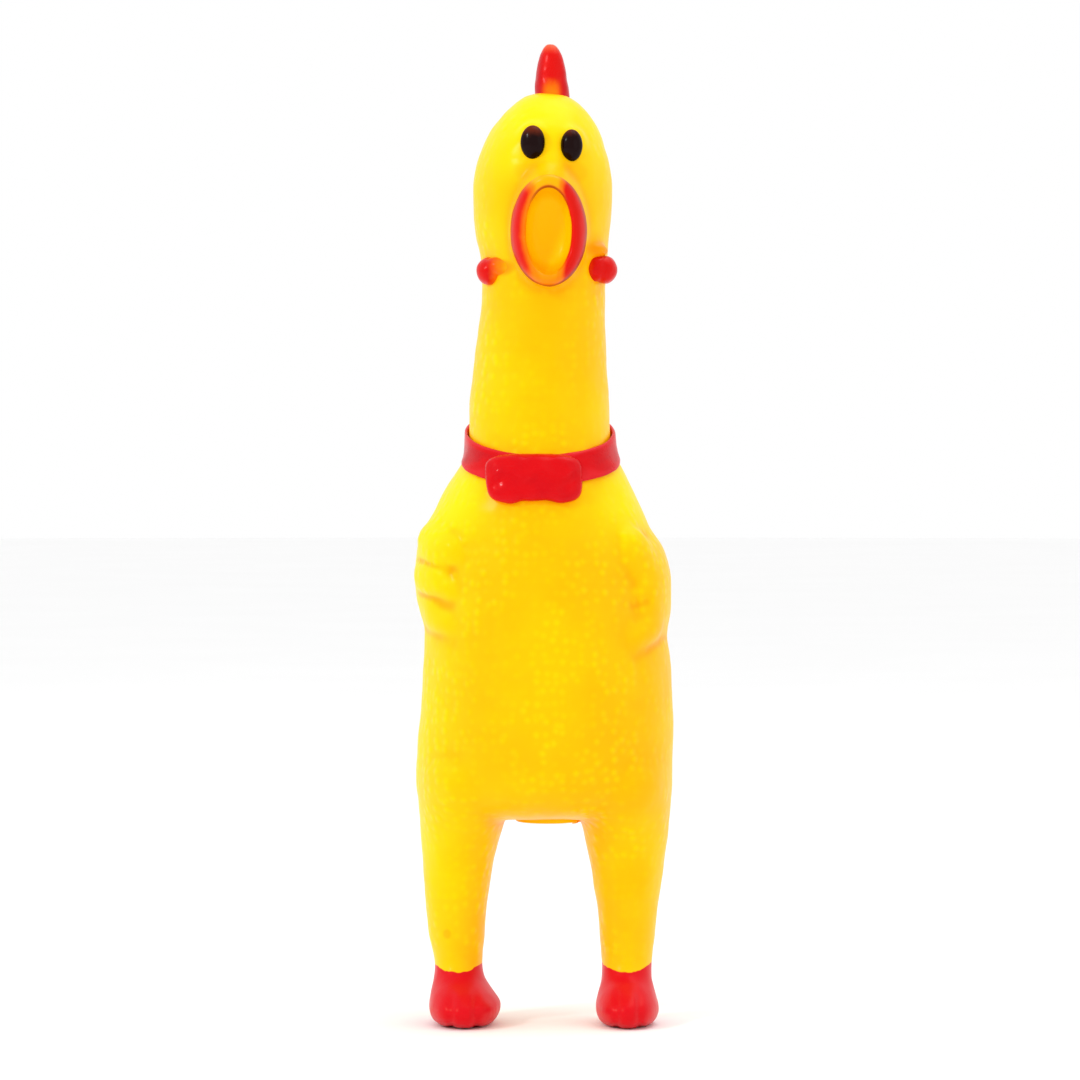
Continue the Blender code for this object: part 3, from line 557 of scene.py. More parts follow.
def settings():
    return bpy.context.scene.chicken_sizes, bpy.context.scene.chicken_colours


def goosebumps(finish, spacing):
    """The height of the skin's bumps, from 0 to 1, in patches."""
    cells = finish.node(
        "ShaderNodeTexVoronoi",
        {"feature": "SMOOTH_F1"},
        {"Vector": finish.position, "Scale": 1 / spacing, "Smoothness": 0.5, "Randomness": 0.6},
        "Distance",
    )
    patches = finish.noise(0.026, 1.0).step(0.34, 0.64) * 0.8 + 0.2
    face = (1.0 - finish.y.step(-19.0, -11.0)) * finish.z.step(240.0, 248.0)
    return (1.0 - cells.step(0.05, 0.60)) * patches * (1.0 - face) * finish.z.step(17.0, 26.0)


def vinyl(name, paint=(), sheen=VINYL_SHEEN):
    """The yellow skin, with painted light and painted shade in its colour. paint is layers of (function of
    the finish that returns a mask, colour).
    """
    sizes, colours = settings()
    finish = Finish(name, coat_weight=0.05, coat_roughness=0.16, specular_ior_level=0.30, specular_tint=sheen)
    bumps = goosebumps(finish, sizes.goosebump)
    hollow = finish.attribute("hollow")
    drift = finish.noise(0.030, 2.0, 0.31).step(0.30, 0.72)
    # Painted light: lemon on the low-X side, on the crown, on the shoulders and a little up the body, as
    # where light from the upper left falls; the front is made a touch more amber.
    side = finish.x.step(-44.0, -16.0)
    front = 1.0 - finish.y.step(-34.0, -6.0)
    shoulders = finish.z.step(148.0, 168.0) * (1.0 - finish.z.step(172.0, 186.0))
    high = finish.z.step(256.0, 288.0) + shoulders * finish.x.size().step(12.0, 28.0)
    # Painted shade: creases turn amber and raised parts turn lemon.
    painted_crease_shade = (hollow - 0.5).step(-0.10, 0.50)
    warm = drift * 0.20 + side * 0.34 + front * 0.14 + painted_crease_shade * 0.45
    warm = warm - high * 0.42 + 0.18 - finish.z.step(70.0, 150.0) * 0.06
    colour = finish.mix(warm.step(0.0, 1.0), colours.lemon, colours.amber)
    # Painted shade: the deepest hollows are mixed towards orange, less so above the neck.
    deep = (hollow - 0.5).step(0.02, 0.46) * (1.0 - finish.z.step(228.0, 236.0) * 0.7)
    colour = finish.mix(deep * 0.40, colour, colours.orange)
    # Painted highlight: the raised goosebumps are made a paler yellow.
    colour = finish.mix(bumps * 0.30, colour, (1.0, 0.78, 0.0))
    roughness = finish.noise(0.004, 2.0, 0.7) * 0.16 + 0.34 - bumps * 0.05
    for mask_of, paint_colour in paint:
        mask = mask_of(finish)
        colour = finish.mix(mask, colour, paint_colour)
        roughness = roughness - mask * 0.05
    grain = finish.bump(finish.noise(0.0009, 2.0), 0.00005, 0.5)
    normal = finish.bump(bumps, sizes.bump_height, 1.0, grain)
    return finish.wear(base_color=colour, roughness=roughness, normal=normal)


def sprayed(name, colour_of, coat=0.08, coat_roughness=0.15, roughest=0.26, grain=0.0011, depth=0.00008):
    """Thin sprayed paint. colour_of is a function of the finish that returns its colour."""
    finish = Finish(
        name,
        coat_weight=coat,
        coat_roughness=coat_roughness,
        specular_ior_level=0.3,
        specular_tint=PAINT_SHEEN,
    )
    colour = colour_of(finish)
    roughness = finish.noise(0.003, 2.0, 0.4) * 0.14 + roughest
    normal = finish.bump(finish.noise(grain, 2.0), depth, 0.6)
    return finish.wear(base_color=colour, roughness=roughness, normal=normal)


def gloss_paint(name, tone, shade_and_mottle_tone):
    """Thick sprayed enamel over vinyl, darker at random and darker in its hollows as painted shade, with a
    pink painted highlight on its raised parts.
    """
    finish = Finish(
        name, coat_weight=0.13, coat_roughness=0.10, specular_ior_level=0.15, specular_tint=PAINT_SHEEN
    )
    hollow = finish.attribute("hollow")
    drift = finish.noise(0.006, 3.0).step(0.25, 0.75)
    # Painted shade: hollows are mixed towards the dark tone, along with random mottling.
    share = drift * 0.30 + (hollow - 0.5).step(0.05, 0.50) * 0.35
    colour = finish.mix(share.step(0.0, 1.0), tone, shade_and_mottle_tone)
    # Painted highlight: raised parts are mixed towards pink.
    raised = 1.0 - (hollow - 0.5).step(-0.45, -0.05)
    colour = finish.mix(raised * 0.12, colour, (1.0, 0.10, 0.12))
    roughness = finish.noise(0.003, 2.0, 0.2) * 0.12 + 0.22
    normal = finish.bump(finish.noise(0.0012, 2.0), 0.00008, 0.6)
    return finish.wear(base_color=colour, roughness=roughness, normal=normal)


# ---------------------------------------------------------------- pieces


def to_metres(thing):
    thing.data.transform(Matrix.Diagonal((MM, MM, MM, 1.0)))
    thing.data.update()
    return thing


def dressed(thing, material, replaces=()):
    thing.data.materials.clear()
    thing.data.materials.append(material)
    thing.data.shade_smooth()
    thing.data.set_sharp_from_angle(angle=math.radians(50))
    if replaces:
        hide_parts(*replaces)
    return thing


def parts_of_skin(thing, name, cuts):
    """A copy of the skin that keeps what each cut leaves. A cut is (point, direction to keep)."""
    bm = bmesh.new()
    bm.from_mesh(thing.data)
    for point, keep in cuts:
        point, keep = Vector(point), Vector(keep).normalized()
        far = [f for f in bm.faces if (f.calc_center_median() - point).dot(keep) < -3.0]
        bmesh.ops.delete(bm, geom=far, context="FACES")
        bmesh.ops.bisect_plane(
            bm,
            geom=[*bm.verts, *bm.edges, *bm.faces],
            dist=0.00001,
            plane_co=point,
            plane_no=keep,
            clear_inner=True,
        )
    return linked(name, bm)


def walled(thing, wall):
    modified(thing, "SOLIDIFY", thickness=wall, offset=-1.0, use_rim=True, use_even_offset=False)
    return baked(thing)


def port_in(thing, radius, flange):
    """Opens the squeaker's round port in the flat underside, and levels the skin under its flange."""
    middle = PORT_MIDDLE
    bm = bmesh.new()
    bm.from_mesh(thing.data)
    near = [v for v in bm.verts if v.co.z < 72 and (Vector((v.co.x, v.co.y, 0)) - middle).length < flange]
    for vert in near:
        vert.co.z = max(vert.co.z, 65.2)
    under = [f for f in bm.faces if f.calc_center_median().z < 68]
    inside = [f for f in under if (f.calc_center_median() - middle).xy.length < radius]
    bmesh.ops.delete(bm, geom=inside, context="FACES")
    for vert in bm.verts:
        if vert.is_boundary and vert.co.z < 68:
            out = vert.co.xy - middle.xy
            if out.length < radius + 2:
                vert.co.xy = middle.xy + out.normalized() * radius
    bm.to_mesh(thing.data)
    bm.free()


def port_bead(thing):
    """Adds the low bead of skin that stands round the squeaker's flange."""
    bm = bmesh.new()
    bm.from_mesh(thing.data)

    def ring_of(angle):
        out, high = 9.9 + 0.6 * math.cos(angle), 64.95 + 1.1 * math.sin(angle)
        return lambda u: Vector((PORT_MIDDLE.x + out * u.x, out * u.y, high))

    loft(bm, [ring_of(2 * math.pi * k / 12) for k in range(12)], 96, closed=True)
    bm.to_mesh(thing.data)
    bm.free()


def build_whole_skin():
    """The whole moulding as one skin in millimetres."""
    sizes, _ = settings()
    bm = bmesh.new()
    stack(bm, TRUNK)
    trunk = mesh_object("trunk", bm)

    bm = bmesh.new()
    rings = []
    for share in (0.0, 0.25, 0.5, 0.75, 0.9, 1.0):
        grow = 1 + BEAK_FLARE * (1 - share) ** 1.6
        lift = (grow - 1) * BEAK_HALF[1]
        y = BEAK_ROOT + (BEAK_FRONT - BEAK_ROOT) * share
        rings.append((y, BEAK_HALF[0] * grow, BEAK_HALF[1] * grow, lift))
    rings += [(BEAK_FRONT, BEAK_HALF[0] * k, BEAK_HALF[1] * k, 0.0) for k in (0.8, 0.6, 0.4, 0.2)]

    def ring_of(y, wide, tall, lift):
        return lambda u: Vector((MOUTH_MIDDLE.x + wide * u.x, y, MOUTH_MIDDLE.z + lift + tall * u.y))

    gaping(loft(bm, [ring_of(*ring) for ring in rings]))
    beak = mesh_object("beak", bm)

    bm = bmesh.new()
    at = MOUTH_MIDDLE + Vector((0, BEAK_FRONT - 0.3, 0))
    gaping(lobe(bm, at, (2 * MOUTH_HALF[0], 2 * MOUTH_DEPTH, 2 * MOUTH_HALF[1]), rounds=64))
    dish = mesh_object("mouth", bm)
    modified(trunk, "BOOLEAN", operation="UNION", solver="EXACT", object=beak)
    modified(trunk, "BOOLEAN", operation="DIFFERENCE", solver="EXACT", object=dish)
    baked(trunk)
    for used in (beak, dish):
        bpy.data.objects.remove(used)

    bm = bmesh.new()
    bm.from_mesh(trunk.data)
    stack(bm, LEFT_LEG)
    stack(bm, RIGHT_LEG)
    for form in (*LEFT_WING, *RIGHT_WING, *TAIL, *FACE):
        lobe(bm, *form)
    bm.to_mesh(trunk.data)
    bm.free()
    skin = moulded(trunk, sizes.grid / MM, 9)
    skin.name = "skin"
    x, y, z = points_of(skin.data).T
    hips = np.exp(-(((z - 71) / 15) ** 2)) * smooth_step(np.abs(y), 5, 14)
    shoulders = smooth_step(z, 152, 163) * (1 - smooth_step(z, 174, 180)) * 0.8
    fingers = smooth_step(z, 112, 120) * (1 - smooth_step(z, 156, 164))
    wings = fingers * smooth_step(np.abs(x), 18, 24) * (0.30 + 0.60 * smooth_step(y, -8, 2))
    tail = 0.25 * smooth_step(y, 18, 24) * (np.abs(x) < 16) * (z < 110)
    softened(skin, np.clip(np.max([hips, shoulders, wings, tail], 0), 0, 1), 90)
    relief(skin.data)
    note_hollows(skin.data, depth=1.1)
    return skin


def relief(mesh):
    """Fine relief of the moulding: unevenness, neck wrinkles, and grooves between fingers and toes."""
    points, normals = points_of(mesh), normals_of(mesh)
    x, y, z = points.T
    uneven = np.array([noise.noise(Vector(p) / 11.0) + 0.5 * noise.noise(Vector(p) / 5.0) for p in points])
    calm = 1 - smooth_step(-y, 12, 22) * (np.abs(z - 250) < 22)
    out = 0.28 * uneven * calm
    ring = z + 1.2 * np.sin(np.arctan2(x, y) * 3) + 1.5 * uneven
    neck = smooth_step(z, 186, 193) * (1 - smooth_step(z, 226, 234))
    out += -0.05 * neck * np.clip(np.sin(ring * 2 * np.pi / 7.5), 0, 1) ** 3
    for start, end, depth in CREASES:
        start, along = np.array(start), np.subtract(end, start)
        share = np.clip((points[:, ::2] - start) @ along / (along @ along), 0, 1)
        apart = np.linalg.norm(points[:, ::2] - start - share[:, None] * along, axis=1)
        width = 1.4 + 0.8 * smooth_step(-np.abs(x), -38.0, -28.0)
        depth = depth * (1 - 0.6 * smooth_step(share if abs(end[0]) < 30 else 1 - share, 0.5, 1.0))
        out -= depth * np.exp(-((apart / width) ** 2)) * (1 - smooth_step(y, -12, 2))
    for middle, half in ((27.0, 10.0), (-24.6, 11.0)):
        toe = (x - middle) / half
        groove = np.exp(-(((np.abs(toe) - 0.36) / 0.11) ** 2))
        reach = smooth_step(-y, 11, 19) * (1 - smooth_step(z, 9.0, 13.0)) * (np.abs(toe) < 1.2)
        out -= 0.6 * groove * reach
    points += normals * out[:, None]
    points[:, 2] = np.maximum(points[:, 2], 0.0)
    put_points(mesh, points)


def up_from(height):
    return (0, 0, height), (0, 0, 1)


def down_from(height):
    return (0, 0, height), (0, 0, -1)


class CHICKEN_OT_skin(bpy.types.Operator):
    """Moulds the skin and parts it where the joints bend it"""

    bl_idname = "chicken.skin"
    bl_label = "Build the skin"

    def execute(self, context):
        sizes, colours = settings()
        wall = sizes.wall / MM
        whole = build_whole_skin()
        collar_up = Vector((0, -math.sin(COLLAR_TILT), math.cos(COLLAR_TILT)))
        collar_low = COLLAR_MIDDLE + Vector((0, 0, 0.8))
        yellow = vinyl("yellow vinyl")

        head = parts_of_skin(whole, "head_moulding", [up_from(HEAD_CUT)])
        to_metres(walled(head, wall))
        dressed(head, vinyl("painted face", face_paint(colours)), ("head_skin", "head_fold"))
        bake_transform(head, "neck", "head", (0, 0, 0.2150), (0, 0, 0.2330))

        neck = parts_of_skin(whole, "neck_moulding", [down_from(HEAD_CUT), (collar_low, collar_up)])
        to_metres(walled(neck, wall))
        dressed(neck, yellow, ("neck_skin", "neck_fold"))
        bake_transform(neck, "torso", "neck", (0, 0, 0.1925), (0, 0, 0.2120))

        torso = parts_of_skin(whole, "torso_moulding", [up_from(CROTCH_CUT), (collar_low, -collar_up)])
        port_in(torso, PORT_RADIUS, FLANGE_RADIUS)
        walled(torso, wall)
        port_bead(torso)
        to_metres(torso)
        dressed(torso, yellow, ("torso_skin", "belly_panel"))
        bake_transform(torso, "torso", "belly", (0, -0.004, 0.1289), (0, -0.027, 0.1289))
        soften_belly(torso.data)

        painted = vinyl("dipped feet", feet_paint(colours), DIPPED_SHEEN)
        for side, way in (("left", 1), ("right", -1)):
            half = ((0, 0, 0), (way, 0, 0))
            leg_cuts = [down_from(CROTCH_CUT), up_from(SHIN_CUT), half]
            leg = parts_of_skin(whole, f"{side}_leg_moulding", leg_cuts)
            to_metres(walled(leg, wall))
            dressed(leg, yellow, (f"{side}_hip_fold", f"{side}_leg_skin"))
            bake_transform(leg, "torso", f"{side}_leg", (0, 0, 0.0645), (0, 0, 0.0455))
            ankle_cuts = [down_from(SHIN_CUT), up_from(PAINT_CUT), half]
            ankle = parts_of_skin(whole, f"{side}_ankle_moulding", ankle_cuts)
            to_metres(walled(ankle, wall))
            dressed(ankle, painted, (f"{side}_ankle_fold",))
            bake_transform(ankle, f"{side}_leg", f"{side}_foot", (0, 0, 0.0285), (0, 0, 0.0195))
            foot = parts_of_skin(whole, f"{side}_foot_moulding", [down_from(PAINT_CUT), half])
            to_metres(walled(foot, wall))
            dressed(foot, painted, (f"{side}_foot",))
            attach(foot, f"{side}_foot")
        bpy.data.objects.remove(whole)
        return {"FINISHED"}


def soften_belly(mesh):
    """Lets the belly's middle move with a press, fading out towards the sides, legs and chest."""
    x, y, z = points_of(mesh).T / MM
    press = smooth_step(-y, 4, 27) * smooth_step(z, 82, 122) * (1 - smooth_step(z, 134, 166))
    mesh.attributes["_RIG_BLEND"].data.foreach_set("value", press.astype(np.float32))


def feet_paint(colours):
    def dipped(finish):
        """Paint below a line that dips at the front of each ankle and wavers a little."""
        way = ((finish.x.size() - 26.9) / 8.0) ** 2.0
        line = 16.8 + way * 2.2 + (finish.noise(0.004, 2.0) - 0.5) * 1.6
        return 1.0 - (finish.z - line).step(-0.18, 0.18)

    def shin_spot(finish):
        """A brownish spot on the front of the right shin."""
        return finish.spot((-29.9, -9.0, 29.0), (3.4, 9.0, 4.0)) * 0.26

    return ((shin_spot, (0.30, 0.12, 0.0)), (dipped, colours.feet_red))


def from_mouth(finish, half):
    """How far across and up from the mouth's middle, as shares of these half sizes."""
    return (finish.x - MOUTH_MIDDLE.x) / half[0], (finish.z - MOUTH_MIDDLE.z) / half[1]


def face_paint(colours):
    def spray_and_painted_shade(finish):
        """Orange: painted shade under the eyes and over the left wattle's fold, and thin spray beside the
        beak and round the comb's root.
        """
        # Painted shade under the eyes and over the left wattle's fold; the side and crown spots are thin
        # spray.
        painted_shade_under_eyes = finish.spot((-4.5, -22, 269.0), (12, 16, 8))
        painted_shade_under_eyes = painted_shade_under_eyes + finish.spot((10.5, -19, 268.5), (12, 16, 9))
        fold = finish.spot((17.8, -12, 244.8), (12, 18, 7), 0.3)
        side = finish.spot((-12.0, -14, 239.0), (12, 16, 7), 0.1)
        crown = finish.spot((3.0, 0, 295.0), (12, 40, 5), 0.3)
        return (painted_shade_under_eyes * 0.32 + fold * 0.75 + side * 0.8 + crown * 0.55).step(0.0, 1.1)

    def rim(finish):
        """Orange where the spray of the lips drifts past their edge, away from the top."""
        across, up = from_mouth(finish, (13.6, 19.0))
        out = across**2.0 + up**2.0
        ahead = 1.0 - finish.y.step(-23.5, -20.0)
        top = 1.0 - (finish.z - MOUTH_MIDDLE.z).step(9.0, 17.0)
        return (1.0 - out.step(0.60, 1.05)) * out.step(0.22, 0.42) * ahead * top * 0.40

    def mouth(finish):
        """The mouth's dish, a shade warmer than the skin."""
        across, up = from_mouth(finish, MOUTH_HALF)
        ahead = 1.0 - finish.y.step(-20.0, -17.0)
        return (1.0 - (across**2.0 + up**2.0).step(0.75, 1.15)) * ahead * 0.9

    return ((mouth, (1.0, 0.60, 0.0)), (spray_and_painted_shade, colours.orange), (rim, colours.orange))


class CHICKEN_OT_beak(bpy.types.Operator):
    """Adds the raised lips round the open beak"""

    bl_idname = "chicken.beak"
    bl_label = "Build the beak's rim"

    def execute(self, context):
        bm = bmesh.new()
        rounds = 20
        thick = 2.9

        def ring_of(angle):
            share = 0.5 - 0.5 * math.cos(angle)
            wide = MOUTH_HALF[0] - 0.3 + (BEAK_HALF[0] + 0.3 - MOUTH_HALF[0]) * share
            tall = MOUTH_HALF[1] - 0.3 + (BEAK_HALF[1] + 0.3 - MOUTH_HALF[1]) * share
            out = thick * math.sin(angle)
            front = out if out > 0 else out * 0.35

            def ring(u):
                plump = 1.0 - 0.28 * smooth_step(u.y, 0.55, 1.0)
                y = BEAK_FRONT - front * plump
                return Vector((MOUTH_MIDDLE.x + wide * u.x, y, MOUTH_MIDDLE.z + tall * u.y))

            return ring

        gaping(loft(bm, [ring_of(2 * math.pi * k / rounds) for k in range(rounds)], 160, closed=True))
        lips = mesh_object("beak_lips", bm)
        piece_of_moulding(lips, 0.12, 4.0, 4, 0.5)
        dressed(lips, sprayed("sprayed lips", lip_colour), ("beak_rim",))
        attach(lips, "head")
        return {"FINISHED"}


def uneven(mesh, height, size):
    """Gives a small piece the slight unevenness of a moulding."""
    points, normals = points_of(mesh), normals_of(mesh)
    out = np.array([noise.noise(Vector(p) / size) for p in points]) * height
    put_points(mesh, points + normals * out[:, None])


def piece_of_moulding(thing, height, size, rounds, depth):
    """Makes a small piece uneven, notes its hollows, and brings it to metres."""
    uneven(thing.data, height, size)
    note_hollows(thing.data, rounds, depth)
    to_metres(thing)


def lip_colour(finish):
    """Red at both sides, more so on the left, orange inside and below, and yellow over the top, with dark
    painted shade along parts of its outer edge and its upper inner edge.
    """
    _, colours = settings()
    across, high = from_mouth(finish, BEAK_HALF)
    wider, taller = BEAK_HALF[0] / MOUTH_HALF[0], BEAK_HALF[1] / MOUTH_HALF[1]
    inner = ((across * wider) ** 2.0 + (high * taller) ** 2.0) ** 0.5
    outer = (across**2.0 + high**2.0) ** 0.5
    out = (inner - 1.0) / (inner - outer)
    mottle = (finish.noise(0.0035, 3.0) - 0.5) * 0.25
    left = across.step(-0.35, 0.45)
    side = across.size().step(0.10, 0.62)
    top = high.step(0.62, 1.0)
    low = (0.0 - high).step(0.45, 1.0)
    red = side * (left * 0.55 + out.step(-0.15, 0.75) * 0.55 + 0.22 + mottle)
    red = red * (1.0 - top * (1.0 - left * 0.35)) * (1.0 - low * 0.40)
    warm = red.step(0.0, 0.36) + low * 0.85
    colour = finish.mix(warm.step(0.0, 1.0), colours.amber, colours.orange)
    colour = finish.mix(red.step(0.22, 0.78), colour, colours.lip_red)
    # Painted shade: dark lines along parts of the outer edge and the upper inner edge.
    painted_shade_outer_edge = out.step(0.78, 1.0) * (low * 0.8 + side * 0.45 + left * side * 0.3)
    painted_shade_inner_edge = (1.0 - out.step(0.0, 0.34)) * high.step(0.2, 0.8) * 0.8
    return finish.mix((painted_shade_outer_edge + painted_shade_inner_edge).step(0.0, 1.0), colour, (0.34, 0.02, 0.006))


class CHICKEN_OT_eyes(bpy.types.Operator):
    """Adds the domed black eyes"""

    bl_idname = "chicken.eyes"
    bl_label = "Build the eyes"

    def execute(self, context):
        material = eye_paint()
        for name, middle, size, turn, roll in (
            ("left_eye", (9.3, -19.4, 276.9), (7.0, 6.0, 10.0), 0.40, 0.0),
            ("right_eye", (-2.9, -20.8, 277.8), (7.7, 5.6, 10.5), -0.14, 0.0),
        ):
            bm = bmesh.new()
            lobe(bm, middle, size, turn, roll, rounds=64)
            eye = mesh_object(f"{name}_dome", bm)
            uneven(eye.data, 0.06, 2.4)
            to_metres(eye)
            dressed(eye, material, (name,))
            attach(eye, "head")
        return {"FINISHED"}


def eye_paint():
    """Black enamel with a brown painted highlight along its upper part."""
    _, colours = settings()
    finish = Finish("eye enamel", coat_weight=0.12, coat_roughness=0.12, specular_ior_level=0.03)
    # Painted highlight: the upper part of each eye turns brown.
    top = (finish.z + (finish.noise(0.002, 3.0) - 0.5) * 3.0).step(279.2, 282.6)
    colour = finish.mix(top * 0.7, colours.eye_black, (0.16, 0.02, 0.004))
    roughness = finish.noise(0.0015, 2.0) * 0.15 + 0.24
    normal = finish.bump(finish.noise(0.0008, 2.0), 0.00005, 0.5)
    return finish.wear(base_color=colour, roughness=roughness, normal=normal)


class CHICKEN_OT_wattles(bpy.types.Operator):
    """Adds the two wattles under the cheeks"""

    bl_idname = "chicken.wattles"
    bl_label = "Build the wattles"

    def execute(self, context):
        material = sprayed("sprayed wattles", wattle_colour, coat_roughness=0.12)
        forms = {
            "left_wattle": (
                ((19.6, -9.2, 238.5), (8.4, 10.6, 9.0), 0.0, 0.0),
                ((17.0, -10.6, 238.9), (8.4, 9.4, 8.6), 0.3, 0.0),
            ),
            "right_wattle": (
                ((-16.4, -9.7, 238.0), (8.6, 10.6, 8.8), 0.0, 0.0),
                ((-13.2, -11.9, 239.4), (12.4, 9.0, 6.2), -0.35, 0.0),
            ),
        }
        for name, lobes in forms.items():
            bm = bmesh.new()
            for form in lobes:
                lobe(bm, *form)
            wattle = moulded(mesh_object(f"{name}_lobe", bm), 0.32, 14)
            piece_of_moulding(wattle, 0.16, 2.8, 8, 0.5)
            dressed(wattle, material, (name,))
            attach(wattle, "head")
        return {"FINISHED"}


def wattle_colour(finish):
    """Red at the outer ends, thinning to orange towards the beak."""
    _, colours = settings()
    out = finish.x.size() + finish.x.step(-2.0, 2.0) * 1.2
    red = (out + (finish.noise(0.003, 3.0) - 0.5) * 2.4).step(12.6, 17.4)
    colour = finish.mix(out.step(10.2, 13.4), (1.0, 0.50, 0.0), colours.orange)
    return finish.mix(red, colour, colours.comb_red)


class CHICKEN_OT_comb(bpy.types.Operator):
    """Adds the scalloped comb along the crown"""

    bl_idname = "chicken.comb"
    bl_label = "Build the comb"

    def execute(self, context):
        bm = bmesh.new()
        for along, base, height, width, thick in (
            (0.8, 289.5, 20.9, 12.0, 11.4),
            (0.8, 298.4, 11.9, 10.2, 9.2),
            (8.8, 288.8, 15.5, 10.6, 10.0),
            (15.4, 283.5, 11.5, 8.4, 8.6),
        ):
            lobe(bm, (3.4, along, base), (thick, width, 2 * height), 0.0, 0.05)
        lobe(bm, (3.0, 6.0, 288.6), (10.8, 22.0, 15.0))
        comb = moulded(mesh_object("comb_points", bm), 0.42, 9)
        piece_of_moulding(comb, 0.22, 3.4, 8, 0.6)
        material = sprayed(
            "sprayed comb", comb_colour, coat=0.06, roughest=0.27, grain=0.0012, depth=0.0001
        )
        dressed(comb, material, ("comb",))
        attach(comb, "head")
        return {"FINISHED"}


def comb_colour(finish):
    """Red, thinning to orange where it meets the crown, with a painted highlight on its ridges and tip and
    painted shade down its flat sides.
    """
    _, colours = settings()
    waver = (finish.noise(0.003, 3.0) - 0.5) * 3.0
    root = 1.0 - (finish.z + finish.y**2.0 * 0.035 + waver).step(294.0, 302.0)
    middle = 1.0 - ((finish.x - 3.0) / 4.2).size().step(0.15, 1.0)
    hollow = finish.attribute("hollow")
    colour = finish.mix((root * (middle * 0.8 + 0.1)).step(0.05, 0.95), colours.comb_red, colours.orange)
    # Painted highlight: raised parts turn a brighter red, and the tip turns orange-pink.
    colour = finish.mix((1.0 - (hollow - 0.5).step(-0.42, -0.08)) * 0.35, colour, (0.85, 0.03, 0.01))
    colour = finish.mix(finish.z.step(306.5, 310.5) * 0.35, colour, (0.95, 0.30, 0.10))
    # Painted shade: the flat sides are darkened.
    sides = ((finish.x - 3.4) / 5.2).size().step(0.45, 0.95)
    return finish.mix(sides * 0.5, colour, (0.34, 0.0, 0.012))


class CHICKEN_OT_collar(bpy.types.Operator):
    """Adds the raised collar and its bow"""

    bl_idname = "chicken.collar"
    bl_label = "Build the collar and bow"

    def execute(self, context):
        _, colours = settings()
        # The dark red is for random mottling and for painted shade in the hollows.
        material = gloss_paint("ribbon enamel", colours.ribbon_red, (0.40, 0.002, 0.010))
        half, thick = 4.1, 1.4
        rounds = 18

        def ring_of(angle):
            up = math.sin(angle)
            out = math.cos(angle)
            high = half * math.copysign(abs(up) ** 0.55, up)
            away = 0.1 + thick * (0.5 + 0.5 * math.copysign(abs(out) ** 0.6, out))

            def ring(u):
                height = COLLAR_MIDDLE.z + high
                for _ in range(3):
                    point = oval(between(TRUNK, height), away)(u)
                    height = COLLAR_MIDDLE.z + high + point.y * math.tan(COLLAR_TILT)
                flare = 1 + 0.012 * max(up, 0.0) * abs(u.x)
                return Vector((point.x * flare, point.y, height))

            return ring

        bm = bmesh.new()
        loft(bm, [ring_of(2 * math.pi * k / rounds) for k in range(rounds)], 200, closed=True)
        band = mesh_object("collar_ribbon", bm)
        piece_of_moulding(band, 0.18, 6.0, 6, 0.5)
        dressed(band, material, ("collar_band",))
        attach(band, "torso")

        def bow_ring(y, grow):
            def ring(u):
                x = -2.5 + 15.2 * grow * math.copysign(abs(u.x) ** 0.5, u.x)
                z = 172.8 + 7.9 * grow * math.copysign(abs(u.y) ** 0.5, u.y)
                x += (z - 172.8) * 0.10 * min(u.x, 0.0)
                low = smooth_step(-u.y, 0.0, 0.5) * (1 - smooth_step(abs(x + 1.6), 3.0, 9.0))
                return Vector((x, y + (z - 173.0) * 0.24 + 0.008 * (x + 2.5) ** 2, z + 1.1 * low))

            return ring

        bm = bmesh.new()
        body = ((-18.0, 0.96), (-22.6, 0.98), (-24.6, 1.0), (-25.9, 0.97), (-26.9, 0.88))
        face = ((-27.5, 0.74), (-27.9, 0.55), (-28.1, 0.3), (-28.2, 0.1))
        loft(bm, [bow_ring(*ring) for ring in (*body, *face)], 96)
        bow = moulded(mesh_object("bow_ribbon", bm), 0.36, 8)
        pleat(bow.data)
        note_hollows(bow.data, 10, 0.6)
        to_metres(bow)
        dressed(bow, material, ("bow_tie",))
        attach(bow, "torso")
        return {"FINISHED"}


def pleat(mesh):
    """Presses shallow waves into the face of the bow."""
    points, normals = points_of(mesh), normals_of(mesh)
    x, y, z = points.T
    wave = z - 174.6 - 1.2 * np.sin((x + 3.0) * 0.55)
    out = 0.35 * np.exp(-((wave / 1.5) ** 2)) - 0.25 * np.exp(-(((wave + 3.2) / 1.6) ** 2))
    out += 0.10 * np.sin((x + 0.4 * (z - 173)) * 0.9)
    out *= (y < -23) * smooth_step(17.0 - np.abs(x + 2.5), 1.0, 5.0)
    put_points(mesh, points + normals * out[:, None])


def squeaker_plastic():
    """Moulded white plastic with faint flow marks."""
    _, colours = settings()
    finish = Finish("squeaker plastic", specular_ior_level=0.5)
    drift = finish.noise(0.005, 3.0).step(0.3, 0.7)
    colour = finish.mix(drift * 0.5, colours.plastic, (0.70, 0.69, 0.62))
    roughness = finish.noise(0.0015, 2.0, 0.3) * 0.18 + 0.34
    normal = finish.bump(finish.noise(0.0004, 2.0), 0.00003, 0.5)
    return finish.wear(base_color=colour, roughness=roughness, normal=normal)


def reed_film():
    """Thin stiff film with faint haze."""
    finish = Finish("reed film", specular_ior_level=0.5)
    haze = finish.noise(0.002, 2.0)
    colour = finish.mix(haze, (0.72, 0.75, 0.78), (0.86, 0.88, 0.90))
    return finish.wear(base_color=colour, roughness=haze * 0.1 + 0.10)


class CHICKEN_OT_squeaker(bpy.types.Operator):
    """Finishes the squeaker's own parts"""

    bl_idname = "chicken.squeaker"
    bl_label = "Finish the squeaker"

    def execute(self, context):
        plastic, film = squeaker_plastic(), reed_film()
        for name in ("squeaker_housing", "squeaker_grille", "reed_block", "reed_wedge", "reed"):
            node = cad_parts[name]
            node.data.materials.clear()
            node.data.materials.append(film if name == "reed" else plastic)
        return {"FINISHED"}


